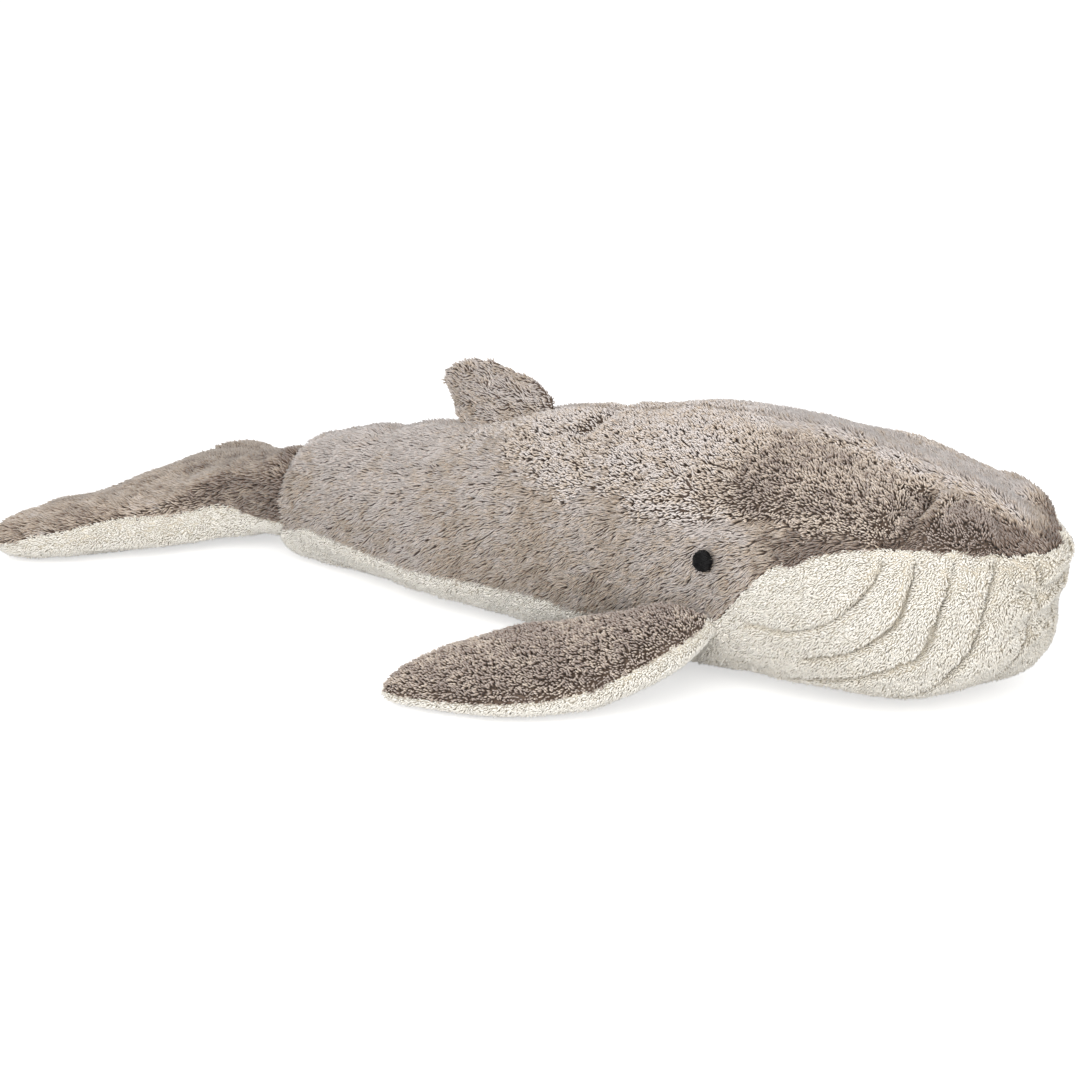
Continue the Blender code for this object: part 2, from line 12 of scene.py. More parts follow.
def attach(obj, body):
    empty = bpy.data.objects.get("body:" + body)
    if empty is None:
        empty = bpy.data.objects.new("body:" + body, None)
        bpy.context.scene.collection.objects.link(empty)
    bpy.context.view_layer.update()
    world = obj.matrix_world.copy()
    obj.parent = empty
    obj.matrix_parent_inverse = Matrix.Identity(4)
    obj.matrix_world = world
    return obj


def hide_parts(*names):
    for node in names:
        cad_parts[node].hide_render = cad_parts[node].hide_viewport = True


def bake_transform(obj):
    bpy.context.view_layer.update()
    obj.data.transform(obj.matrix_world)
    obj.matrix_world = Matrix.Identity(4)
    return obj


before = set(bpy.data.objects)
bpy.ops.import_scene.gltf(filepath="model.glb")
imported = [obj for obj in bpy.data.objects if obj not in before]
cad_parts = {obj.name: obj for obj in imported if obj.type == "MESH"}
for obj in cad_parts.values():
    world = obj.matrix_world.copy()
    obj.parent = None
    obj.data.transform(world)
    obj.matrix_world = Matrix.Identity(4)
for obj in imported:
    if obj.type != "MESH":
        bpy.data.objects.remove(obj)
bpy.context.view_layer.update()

# Body cloth
# The knitted backing of the plush, one skin sewn from the grey back, in two halves, and the cream
# belly. It is stuffed firm, swells between its seams, and carries the pile.
pile_depth = 0.0042
seam_hollow = 0.0016
cloth_grain = 0.0040
cloth_swell = 0.0034
thread_gap = 0.00001
seam_width = 0.0050


def mesh_points(mesh):
    points = np.empty(len(mesh.vertices) * 3)
    mesh.vertices.foreach_get("co", points)
    return points.reshape(-1, 3)


def mesh_normals(mesh):
    normals = np.empty(len(mesh.vertices) * 3)
    mesh.vertex_normals.foreach_get("vector", normals)
    return normals.reshape(-1, 3)


def place_points(mesh, points):
    mesh.vertices.foreach_set("co", points.ravel())
    mesh.update()


def placed(name, data):
    piece = bpy.data.objects.new(name, data)
    bpy.context.scene.collection.objects.link(piece)
    return piece


def skin_tree(mesh):
    return BVHTree.FromPolygons(
        [v.co for v in mesh.vertices], [tuple(p.vertices) for p in mesh.polygons]
    )


def applied(piece):
    """Gives a piece the mesh that its modifiers make, and takes them off."""
    bpy.context.view_layer.update()
    mesh = bpy.data.meshes.new_from_object(
        piece.evaluated_get(bpy.context.evaluated_depsgraph_get())
    )
    piece.modifiers.clear()
    piece.data = mesh
    mesh.name = piece.name
    return mesh


def sewn_skin(name, nodes, grain, rounds):
    """One even closed skin round the panels and stuffing of a piece."""
    bm = bmesh.new()
    for node in nodes:
        bm.from_mesh(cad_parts[node].data)
    bmesh.ops.remove_doubles(bm, verts=bm.verts, dist=thread_gap)
    panels = bpy.data.meshes.new(name)
    bm.to_mesh(panels)
    bm.free()
    skin = placed(name, panels)
    cover = skin.modifiers.new("cover", "REMESH")
    cover.mode = "VOXEL"
    cover.voxel_size = grain
    calm = skin.modifiers.new("calm", "SMOOTH")
    calm.factor = 0.5
    calm.iterations = rounds
    mesh = applied(skin)
    bm = bmesh.new()
    bm.from_mesh(mesh)
    left_over = set(bm.verts)
    shells = []
    while left_over:
        shell = {left_over.pop()}
        edge = set(shell)
        while edge:
            edge = {e.other_vert(v) for v in edge for e in v.link_edges} & left_over
            left_over -= edge
            shell |= edge
        shells.append(shell)
    shells.sort(key=len)
    for shell in shells[:-1]:
        bmesh.ops.delete(bm, geom=list(shell), context="VERTS")
    bm.to_mesh(mesh)
    bm.free()
    mesh.shade_smooth()
    return skin


def tree_of(node_names):
    bm = bmesh.new()
    for node in node_names:
        bm.from_mesh(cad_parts[node].data)
    tree = BVHTree.FromBMesh(bm)
    bm.free()
    return tree


def past_seam(points, first, second):
    """How far each point lies past the seam from the first panels towards the second ones."""
    return np.array(
        [first.find_nearest(Vector(p))[3] - second.find_nearest(Vector(p))[3] for p in points]
    )


def draw_in(mesh, depth, share=0.42):
    """Moves a skin in under its pile, by no more than its own thickness allows."""
    tree = skin_tree(mesh)
    just_inside = 0.0004
    points, normals = mesh_points(mesh), mesh_normals(mesh)
    step = np.full(len(points), 1.0) * depth
    for i, (point, normal) in enumerate(zip(points, normals)):
        hit = tree.ray_cast(Vector(point - normal * just_inside), Vector(-normal))
        if hit[0]:
            step[i] = min(step[i], share * hit[3])
    place_points(mesh, points - normals * step[:, None])


def line_distance(points, line):
    """Each point's distance from a line of places, and how far along the line it is."""
    line = np.asarray(line, float)
    nearest = np.full(len(points), 1e9)
    along = np.zeros(len(points))
    for i, (a, b) in enumerate(zip(line, line[1:])):
        span = b - a
        t = np.clip(((points - a) @ span) / max(span @ span, 1e-12), 0, 1)
        gap = np.linalg.norm(points - a - t[:, None] * span, axis=1)
        closer = gap < nearest
        nearest[closer] = gap[closer]
        along[closer] = (i + t[closer]) / (len(line) - 1)
    return nearest, along


def curve_through(places, steps=8):
    """A smooth line through places, curved after Catmull and Rom."""
    p = np.asarray(places, float)
    p = np.vstack([2 * p[0] - p[1], p, 2 * p[-1] - p[-2]])
    line = []
    for p0, p1, p2, p3 in zip(p, p[1:], p[2:], p[3:]):
        for t in np.arange(steps) / steps:
            bend = (2 * p0 - 5 * p1 + 4 * p2 - p3) * t**2 + (3 * p1 - p0 - 3 * p2 + p3) * t**3
            line.append(p1 + (p2 - p0) * t / 2 + bend / 2)
    return np.array([*line, p[-2]])


def closeness(points, lines, width):
    """1 on any of the lines, falling to 0 a width away."""
    close = np.zeros(len(points))
    for line in lines:
        close = np.maximum(close, 1 - line_distance(points, line)[0] / width)
    return close


def smooth_step(values, low, high):
    t = np.clip((values - low) / (high - low), 0, 1)
    return t * t * (3 - 2 * t)


def stuffed(skin, held, swell, pressure=4.0):
    """Fills a sewn skin. The cloth swells under the stuffing, and its seams hold it in."""
    start = mesh_points(skin.data).copy()
    seams = skin.vertex_groups.new(name="seams")
    for i in np.flatnonzero(held > 0.01):
        seams.add([int(i)], float(min(held[i], 1.0)), "REPLACE")
    steps = 20
    fill = skin.modifiers.new("fill", "CLOTH")
    fill.settings.quality = 6
    fill.settings.mass = 0.25
    fill.settings.use_pressure = True
    fill.settings.uniform_pressure_force = pressure
    fill.settings.vertex_group_mass = "seams"
    fill.settings.effector_weights.gravity = 0
    fill.collision_settings.use_collision = False
    for number in range(1, steps + 1):
        bpy.context.scene.frame_set(number)
    mesh = applied(skin)
    bpy.context.scene.frame_set(1)
    move = mesh_points(mesh) - start
    far = np.linalg.norm(move, axis=1, keepdims=True) + 1e-9
    place_points(mesh, start + move / far * swell * np.tanh(far / swell))
    skin.vertex_groups.clear()


def made_finer(skin):
    finer = skin.modifiers.new("finer", "SUBSURF")
    finer.levels = 1
    mesh = applied(skin)
    mesh.shade_smooth()
    return mesh


def set_value(mesh, name, values, kind="FLOAT", domain="POINT"):
    held = mesh.attributes.get(name) or mesh.attributes.new(name, kind, domain)
    held.data.foreach_set(
        "vector" if kind == "FLOAT_VECTOR" else "value", np.asarray(values).ravel()
    )


def face_values(mesh, point_values):
    """The value at each face from its first point."""
    corners = np.empty(len(mesh.loops), int)
    mesh.loops.foreach_get("vertex_index", corners)
    start = np.empty(len(mesh.polygons), int)
    mesh.polygons.foreach_get("loop_start", start)
    return np.asarray(point_values)[corners[start]]


def both_sides(line):
    line = np.asarray(line, float)
    return (line * (1, -1, 1), line)


def on_skin(mesh, line):
    tree = skin_tree(mesh)
    return np.array([tree.find_nearest(Vector(place))[0] for place in line])


def press(mesh, line, depth, width, fade=0.04):
    """Presses a soft groove into a skin along a line, shallower towards the line's ends."""
    points, normals = mesh_points(mesh), mesh_normals(mesh)
    gap, along = line_distance(points, line)
    ends = np.clip(np.minimum(along, 1 - along) / fade, 0, 1)
    shape = np.clip(1 - (gap / width) ** 2, 0, 1) ** 2 * (ends * (2 - ends))
    place_points(mesh, points - normals * (depth * shape)[:, None])
    return shape


def colour(r, g, b):
    """A colour as a camera shows it, given in 0 to 255, as light."""
    return tuple(
        (c / 255 / 12.92 if c <= 10 else ((c / 255 + 0.055) / 1.055) ** 2.4) for c in (r, g, b)
    ) + (1.0,)


def backing(name, thin, thick, loop_size=0.0011):
    """Knitted cloth: two tones in soft patches, with the small bumps of its loops."""
    finish = bpy.data.materials.new(name)
    finish.use_nodes = True
    nodes, links = finish.node_tree.nodes, finish.node_tree.links
    shader = nodes["Principled BSDF"]
    shader.inputs["Roughness"].default_value = 0.95
    shader.inputs["Specular IOR Level"].default_value = 0.1
    where = nodes.new("ShaderNodeTexCoord")
    patches = nodes.new("ShaderNodeTexNoise")
    patches.inputs["Scale"].default_value = 90
    patches.inputs["Detail"].default_value = 4
    links.new(where.outputs["Object"], patches.inputs["Vector"])
    tones = nodes.new("ShaderNodeValToRGB")
    tones.color_ramp.elements[0].position = 0.35
    tones.color_ramp.elements[0].color = colour(*thin)
    tones.color_ramp.elements[1].position = 0.65
    tones.color_ramp.elements[1].color = colour(*thick)
    links.new(patches.outputs[0], tones.inputs[0])
    links.new(tones.outputs[0], shader.inputs["Base Color"])
    loops = nodes.new("ShaderNodeTexVoronoi")
    loops.inputs["Scale"].default_value = 1 / loop_size
    links.new(where.outputs["Object"], loops.inputs["Vector"])
    raised = nodes.new("ShaderNodeBump")
    raised.inputs["Strength"].default_value = 0.6
    raised.inputs["Distance"].default_value = 0.0004
    links.new(loops.outputs["Distance"], raised.inputs["Height"])
    links.new(raised.outputs[0], shader.inputs["Normal"])
    return finish


taupe_backing = backing("taupe_backing", thin=(84, 70, 60), thick=(112, 97, 86))
cream_backing = backing("cream_backing", thin=(222, 213, 196), thick=(237, 231, 218))
body_nodes = ["back_panel_right", "back_panel_left", "belly_panel", "body_filling"]
belly_tree = tree_of(["belly_panel"])
back_tree = tree_of(["back_panel_right", "back_panel_left"])
body_cloth = sewn_skin("body_cloth", body_nodes, cloth_grain, rounds=4)

# Throat pleats
# Five folds a side run from the lip down and back under the jaw. Each is pinched and sewn through
# the cream cloth, which leaves a narrow groove between full ribs.
pleat_depth = 0.0044
pleat_width = 0.0029
pleat_lines = (
    (
        (0.2293, 0.0701, 0.0916), (0.2251, 0.0748, 0.0758), (0.2140, 0.0786, 0.0608),
        (0.2020, 0.0800, 0.0518), (0.1830, 0.0802, 0.0453), (0.1605, 0.0818, 0.0443),
    ),
    (
        (0.2445, 0.0645, 0.0919), (0.2451, 0.0707, 0.0785), (0.2393, 0.0717, 0.0589),
        (0.2298, 0.0767, 0.0475), (0.2146, 0.0779, 0.0376), (0.1892, 0.0776, 0.0295),
    ),
    (
        (0.2595, 0.0532, 0.0914), (0.2587, 0.0626, 0.0649), (0.2504, 0.0640, 0.0397),
        (0.2327, 0.0704, 0.0288), (0.2050, 0.0700, 0.0190), (0.1750, 0.0660, 0.0110),
    ),
    (
        (0.2738, 0.0377, 0.0896), (0.2767, 0.0433, 0.0755), (0.2744, 0.0455, 0.0617),
        (0.2694, 0.0466, 0.0415), (0.2600, 0.0500, 0.0260), (0.2400, 0.0500, 0.0100),
        (0.1900, 0.0460, 0.0030),
    ),
    (
        (0.2867, 0.0183, 0.0863), (0.2893, 0.0157, 0.0670), (0.2870, 0.0160, 0.0450),
        (0.2720, 0.0180, 0.0160), (0.2400, 0.0200, 0.0030),
    ),
)
pleats = [curve_through(side_line) for line in pleat_lines for side_line in both_sides(line)]

# Body stuffing
# Firm filling behind the cloth. It swells each panel between its seams, and the folds that stay
# when a soft toy is handled lie in it: a crease over the lip, a ridge down the snout, chin tucks.
coarse = mesh_points(body_cloth.data)
seam_gap = np.abs(past_seam(coarse, belly_tree, back_tree))
held = np.maximum(
    np.clip(1 - seam_gap / seam_width, 0, 1), closeness(coarse, pleats, seam_width)
)
draw_in(body_cloth.data, pile_depth + seam_hollow)
stuffed(body_cloth, held, cloth_swell)
made_finer(body_cloth)
side = past_seam(
    mesh_points(body_cloth.data) + mesh_normals(body_cloth.data) * pile_depth, belly_tree, back_tree
)
folds = {
    # depth, width, fade, on both sides, places
    "dip over the near lip": (0.0048, 0.0105, 0.16, False, (
        (0.2260, -0.0648, 0.0975), (0.2286, -0.0592, 0.1021), (0.2295, -0.0500, 0.1060),
        (0.2290, -0.0365, 0.1101), (0.2270, -0.0240, 0.1128),
    )),
    "ridge down the snout": (-0.0040, 0.0180, 0.20, False, (
        (0.1400, 0.0, 0.1260), (0.2090, 0.0, 0.1190), (0.2447, 0.0, 0.1100),
        (0.2778, 0.0, 0.0960),
    )),
    "full cheek over each lip": (-0.0044, 0.0170, 0.30, True, (
        (0.2400, 0.0580, 0.1000), (0.2560, 0.0420, 0.1020), (0.2680, 0.0240, 0.1010),
    )),
    "wrinkle before the fin": (0.0046, 0.0085, 0.25, True, (
        (0.0326, 0.0300, 0.1100), (0.0389, 0.0173, 0.1136), (0.0435, 0.0011, 0.1163),
    )),
    "chin's upper tuck": (0.0036, 0.0065, 0.20, False, (
        (0.2837, -0.0328, 0.0731), (0.2876, -0.0251, 0.0696), (0.2907, -0.0155, 0.0672),
        (0.2930, 0.0100, 0.0680), (0.2870, 0.0290, 0.0710),
    )),
    "roll over the chin": (-0.0020, 0.0110, 0.20, False, (
        (0.2830, -0.0300, 0.0810), (0.2920, 0.0, 0.0790), (0.2830, 0.0300, 0.0800),
    )),
    "chin's lower tuck": (0.0040, 0.0110, 0.30, False, (
        (0.2800, -0.0330, 0.0470), (0.2900, -0.0100, 0.0500), (0.2900, 0.0120, 0.0510),
        (0.2800, 0.0340, 0.0480),
    )),
    "hollow behind each cheek": (0.0022, 0.0120, 0.25, True, (
        (0.1250, 0.0800, 0.0900), (0.1600, 0.0760, 0.1010), (0.1950, 0.0700, 0.1040),
    )),
    "raised rear": (-0.0060, 0.0400, 0.40, False, (
        (-0.1030, 0.0, 0.0850), (-0.1300, 0.0, 0.0720), (-0.1550, 0.0, 0.0620),
        (-0.1780, 0.0, 0.0520),
    )),
    "raised behind the fin": (-0.0038, 0.0350, 0.50, False, (
        (-0.1250, 0.0, 0.0800), (-0.0850, 0.0, 0.0920), (-0.0450, 0.0, 0.1000),
    )),
    "raised before the fin": (-0.0045, 0.0350, 0.50, False, (
        (-0.0200, 0.0, 0.1080), (0.0150, 0.0, 0.1130), (0.0600, 0.0, 0.1170),
    )),
    "raised middle": (-0.0030, 0.0420, 0.50, False, (
        (0.0350, 0.0, 0.1160), (0.0900, 0.0, 0.1210), (0.1450, 0.0, 0.1240),
    )),
    "roll before the near crease": (-0.0036, 0.0095, 0.20, False, (
        (0.2330, -0.0630, 0.0980), (0.2355, -0.0537, 0.1025), (0.2368, -0.0433, 0.1062),
        (0.2365, -0.0289, 0.1095), (0.2370, -0.0150, 0.1108),
    )),
    "full lower chin": (-0.0046, 0.0300, 0.30, False, (
        (0.2720, -0.0050, 0.0230), (0.2660, 0.0250, 0.0230), (0.2480, 0.0480, 0.0230),
    )),
}
for depth, width, fade, twice, places in folds.values():
    for side_line in both_sides(places) if twice else (np.array(places, float),):
        fold_line = on_skin(body_cloth.data, curve_through(side_line))
        press(body_cloth.data, fold_line, depth, width, fade)
back_seam = [(x, 0.0, 0.14) for x in np.linspace(-0.15, 0.285, 60)]
seam_line = on_skin(body_cloth.data, back_seam)
parted = press(body_cloth.data, seam_line, depth=0.0006, width=0.0050, fade=0.05)
brow = curve_through((
    (0.2262, -0.0648, 0.0975), (0.2286, -0.0592, 0.1021), (0.2295, -0.0500, 0.1060),
    (0.2290, -0.0365, 0.1101), (0.2268, -0.0230, 0.1130),
))
brow = on_skin(body_cloth.data, brow)
creased = press(body_cloth.data, brow, depth=0.0062, width=0.0050, fade=0.10)
roll = curve_through((
    (0.2322, -0.0630, 0.0980), (0.2345, -0.0537, 0.1027), (0.2358, -0.0433, 0.1066),
    (0.2355, -0.0289, 0.1098), (0.2360, -0.0150, 0.1111),
))
roll = on_skin(body_cloth.data, roll)
rolled = closeness(mesh_points(body_cloth.data), [roll], width=0.0080)
pleated = np.zeros(len(body_cloth.data.vertices))
for line in pleats:
    pleated = np.maximum(
        pleated, press(body_cloth.data, on_skin(body_cloth.data, line), pleat_depth, pleat_width)
    )


def handled(mesh, height, size):
    """Soft unevenness in the stuffing, at one size and at half of it."""
    points, normals = mesh_points(mesh), mesh_normals(mesh)
    lumps = [
        noise.noise(Vector(p / size)) + 0.5 * noise.noise(Vector(p * 2.2 / size)) for p in points
    ]
    place_points(mesh, points + normals * (height * np.array(lumps))[:, None])


handled(body_cloth.data, height=0.0020, size=0.045)
points = mesh_points(body_cloth.data)
end_from = (0.148, 0.180)
end_cut_back, cut_height = 0.0170, (0.030, 0.062)
end_lift, lift_height = 0.0060, (0.008, 0.030)
at_end = smooth_step(-points[:, 0], *end_from)
points[:, 0] += end_cut_back * at_end * smooth_step(points[:, 2], *cut_height)
points[:, 2] += end_lift * at_end * (1 - smooth_step(points[:, 2], *lift_height))
place_points(body_cloth.data, points)

# Body pile
# Cotton plush with its pile knitted into the cloth. It lies combed back and down on the flanks,
# curls into small knobs on the head and back, and is short and fine on the cream belly.
pile_values = ("Spacing", "Length", "Width", "Lean", "Wave", "Wave size", "Patchiness")
pile_sizes = {
    "pile": (0.00076, 0.0051, 0.00112, 0.90, 0.80, 0.006, 0.9),
    "curls": (0.00084, 0.0038, 0.00110, 0.52, 1.40, 0.0040, 0.9),
    "nap": (0.00062, 0.0031, 0.00095, 0.72, 0.90, 0.004, 0.5),
}
cream_overlap = 0.0028
floor_gap = 0.0003
seam_reach = 0.004


def built(name, bm):
    """A smooth closed piece from the faces laid in a bmesh."""
    bmesh.ops.recalc_face_normals(bm, faces=bm.faces)
    mesh = bpy.data.meshes.new(name)
    bm.to_mesh(mesh)
    bm.free()
    mesh.shade_smooth()
    return placed(name, mesh)


def spindle(name, rings, tip_bend):
    """A closed tuft, one long and one wide, through rings given as (height, radius, sides)."""
    bm = bmesh.new()
    uv = bm.loops.layers.uv.new("OFBake")
    root = bm.verts.new((0, 0, -0.08))
    tip = bm.verts.new((tip_bend, 0, 1))
    up = {root: 0.0, tip: 1.0}
    rows = []
    for height, radius, sides in rings:
        row = []
        for k in range(sides):
            a = math.tau * (k + 0.5) / sides
            row.append(bm.verts.new((radius * math.cos(a), radius * math.sin(a), height)))
            up[row[-1]] = height
        rows.append(row)
    faces = [(root, rows[0][(k + 1) % sides], rows[0][k]) for k in range(sides)]
    faces += [(tip, rows[-1][k], rows[-1][(k + 1) % sides]) for k in range(sides)]
    for corners in faces:
        face = bm.faces.new(corners)
        for k, loop in enumerate(face.loops):
            loop[uv].uv = (k * 0.5, up[loop.vert])
    return built(name, bm)


class NodeBench:
    """A Geometry Nodes tree, with short ways to lay nodes in it and join them."""

    def __init__(self, name, **inputs):
        self.tree = bpy.data.node_groups.new(name, "GeometryNodeTree")
        self.tree.is_modifier = True
        for kind, names in inputs.items():
            for socket_name in names:
                self.tree.interface.new_socket(
                    name=socket_name, in_out="INPUT", socket_type="NodeSocket" + kind
                )
        self.tree.interface.new_socket(
            name="Result", in_out="OUTPUT", socket_type="NodeSocketGeometry"
        )
        self.given = self.tree.nodes.new("NodeGroupInput").outputs
        self.result = self.tree.nodes.new("NodeGroupOutput").inputs[0]

    def put(self, value, socket):
        if isinstance(value, bpy.types.NodeSocket):
            self.tree.links.new(value, socket)
        else:
            socket.default_value = value

    def sum_of(self, operation, a, b=0.0):
        node = self.tree.nodes.new("ShaderNodeMath")
        node.operation = operation
        self.put(a, node.inputs[0])
        self.put(b, node.inputs[1])
        return node.outputs[0]

    def combined(self, *parts):
        node = self.tree.nodes.new("ShaderNodeCombineXYZ")
        for part, socket in zip(parts, node.inputs):
            self.put(part, socket)
        return node.outputs[0]

    def separated(self, value):
        node = self.tree.nodes.new("ShaderNodeSeparateXYZ")
        self.put(value, node.inputs[0])
        return node.outputs

    def chance(self, low, high, step, kind="FLOAT"):
        node = self.tree.nodes.new("FunctionNodeRandomValue")
        node.data_type = kind
        first = 0 if kind == "FLOAT_VECTOR" else 2
        node.inputs[first].default_value = low
        node.inputs[first + 1].default_value = high
        self.put(self.sum_of("ADD", self.given["Seed"], float(step)), node.inputs["Seed"])
        return node.outputs[0 if kind == "FLOAT_VECTOR" else 1]

    def finished(self, pieces):
        finish = self.tree.nodes.new("GeometryNodeSetMaterial")
        self.put(pieces, finish.inputs["Geometry"])
        self.put(self.given["Finish"], finish.inputs["Material"])
        self.put(finish.outputs[0], self.result)
        return self.tree


def laid_pile_tree():
    """Geometry Nodes: plants tufts on a patch of cloth and lays or curls them as the cloth says."""
    bench = NodeBench(
        "laid pile", Geometry=("Cloth",), Object=("Tuft",), Material=("Finish",),
        Int=("Patch", "Seed"),
        Float=("Side", "Curled") + pile_values,
    )
    nodes, given = bench.tree.nodes, bench.given
    put, sum_of, chance = bench.put, bench.sum_of, bench.chance

    def arrow(operation, a, b=None, scale=None):
        node = nodes.new("ShaderNodeVectorMath")
        node.operation = operation
        put(a, node.inputs[0])
        if b is not None:
            put(b, node.inputs[1])
        if scale is not None:
            put(scale, node.inputs["Scale"])
        return node.outputs["Value" if operation == "DOT_PRODUCT" else "Vector"]

    def held(name, kind="FLOAT"):
        node = nodes.new("GeometryNodeInputNamedAttribute")
        node.data_type = kind
        node.inputs["Name"].default_value = name
        return node.outputs["Attribute"]

    def drift(size, detail=1.0):
        node = nodes.new("ShaderNodeTexNoise")
        node.inputs["Scale"].default_value = 1.0
        node.inputs["Detail"].default_value = detail
        place = nodes.new("GeometryNodeInputPosition").outputs[0]
        put(arrow("SCALE", place, scale=sum_of("DIVIDE", 1.0, size)), node.inputs["Vector"])
        return node.outputs

    def compared(a, operation, b, kind="FLOAT"):
        node = nodes.new("FunctionNodeCompare")
        node.data_type = kind
        node.operation = operation
        put(a, node.inputs[2 if kind == "INT" else 0])
        put(b, node.inputs[3 if kind == "INT" else 1])
        return node.outputs[0]

    def both(a, b):
        node = nodes.new("FunctionNodeBooleanMath")
        node.operation = "AND"
        put(a, node.inputs[0])
        put(b, node.inputs[1])
        return node.outputs[0]

    in_patch = compared(held("patch", "INT"), "EQUAL", given["Patch"], "INT")
    on_side = sum_of("MULTIPLY", held("side"), given["Side"])
    clumps = sum_of("SUBTRACT", drift(0.022, 2.0)[0], 0.5)
    curl = sum_of("ADD", held("curl"), sum_of("MULTIPLY", clumps, 1.6))
    nearly = sum_of("MULTIPLY", sum_of("SUBTRACT", curl, 0.5), given["Curled"])
    near_side = both(in_patch, compared(on_side, "GREATER_THAN", -seam_reach))
    plant = nodes.new("GeometryNodeDistributePointsOnFaces")
    plant.distribute_method = "POISSON"
    put(given["Cloth"], plant.inputs["Mesh"])
    put(both(near_side, compared(nearly, "GREATER_THAN", -0.35)), plant.inputs["Selection"])
    put(given["Spacing"], plant.inputs["Distance Min"])
    put(sum_of("DIVIDE", 2.0, sum_of("POWER", given["Spacing"], 2.0)), plant.inputs["Density Max"])
    put(held("cover"), plant.inputs["Density Factor"])
    put(given["Seed"], plant.inputs["Seed"])
    normal = plant.outputs["Normal"]

    wave = given["Wave"]
    swirl = arrow("SUBTRACT", drift(given["Wave size"], 2.0)["Color"], (0.5, 0.5, 0.5))
    swirl = arrow("SCALE", swirl, scale=sum_of("MULTIPLY", wave, 4.0))
    stray = chance((-1, -1, -1), (1, 1, 1), 1, "FLOAT_VECTOR")
    stray = arrow("SCALE", stray, scale=sum_of("MULTIPLY", wave, 0.35))
    way = arrow("ADD", arrow("ADD", held("flow", "FLOAT_VECTOR"), swirl), stray)
    rise = arrow("SCALE", normal, scale=arrow("DOT_PRODUCT", way, normal))
    way = arrow("NORMALIZE", arrow("SUBTRACT", way, rise))
    lean = sum_of("MULTIPLY", given["Lean"], chance(0.8, 1.15, 2))
    axis = arrow(
        "ADD",
        arrow("SCALE", normal, scale=sum_of("COSINE", lean)),
        arrow("SCALE", way, scale=sum_of("SINE", lean)),
    )
    stand = nodes.new("FunctionNodeAlignRotationToVector")
    stand.axis = "Z"
    put(axis, stand.inputs["Vector"])
    turn = nodes.new("FunctionNodeAlignRotationToVector")
    turn.axis = "X"
    turn.pivot_axis = "Z"
    put(stand.outputs[0], turn.inputs["Rotation"])
    put(way, turn.inputs["Vector"])

    width = sum_of("MULTIPLY", given["Width"], chance(0.78, 1.22, 3))
    length = sum_of("MULTIPLY", given["Length"], chance(0.78, 1.18, 4))
    size = bench.combined(width, width, sum_of("MULTIPLY", length, held("nap")))

    broad = sum_of("SUBTRACT", drift(0.036, 2.0)[0], 0.5)
    fine = sum_of("SUBTRACT", drift(sum_of("MULTIPLY", given["Wave size"], 1.25))[0], 0.5)
    shade = sum_of("ADD", sum_of("MULTIPLY", broad, 1.1), sum_of("MULTIPLY", fine, 1.3))
    shade = sum_of("ADD", sum_of("MULTIPLY", shade, given["Patchiness"]), held("tone"))
    shade = sum_of("ADD", shade, chance(0.28, 0.72, 5))
    shade = sum_of("MAXIMUM", sum_of("MINIMUM", shade, 0.97), 0.02)
    mark = nodes.new("GeometryNodeStoreNamedAttribute")
    mark.data_type = "FLOAT"
    mark.domain = "POINT"
    mark.inputs["Name"].default_value = "shade"
    put(plant.outputs["Points"], mark.inputs["Geometry"])
    put(shade, mark.inputs["Value"])

    pick = nodes.new("GeometryNodeObjectInfo")
    put(given["Tuft"], pick.inputs["Object"])
    past = sum_of("MULTIPLY", sum_of("SUBTRACT", curl, chance(0.35, 0.65, 6)), given["Curled"])
    of_kind = compared(past, "GREATER_THAN", -0.0001)
    stick = nodes.new("GeometryNodeInstanceOnPoints")
    put(mark.outputs[0], stick.inputs["Points"])
    put(both(compared(on_side, "GREATER_THAN", 0.0), of_kind), stick.inputs["Selection"])
    put(pick.outputs["Geometry"], stick.inputs["Instance"])
    put(turn.outputs[0], stick.inputs["Rotation"])
    put(size, stick.inputs["Scale"])
    real = nodes.new("GeometryNodeRealizeInstances")
    put(stick.outputs[0], real.inputs[0])

    x, y, z = bench.separated(nodes.new("GeometryNodeInputPosition").outputs[0])
    flattened = nodes.new("GeometryNodeSetPosition")
    put(real.outputs[0], flattened.inputs["Geometry"])
    put(bench.combined(x, y, sum_of("MAXIMUM", z, floor_gap)), flattened.inputs["Position"])

    across, along = bench.separated(held("OFBake", "FLOAT_VECTOR"))[:2]
    chart = bench.combined(
        sum_of("ADD", held("shade"), sum_of("MULTIPLY", across, 0.004)), along
    )
    dye = nodes.new("GeometryNodeStoreNamedAttribute")
    dye.data_type = "FLOAT2"
    dye.domain = "CORNER"
    dye.inputs["Name"].default_value = "OFBake"
    put(flattened.outputs[0], dye.inputs["Geometry"])
    put(chart, dye.inputs["Value"])
    return bench.finished(dye.outputs[0])


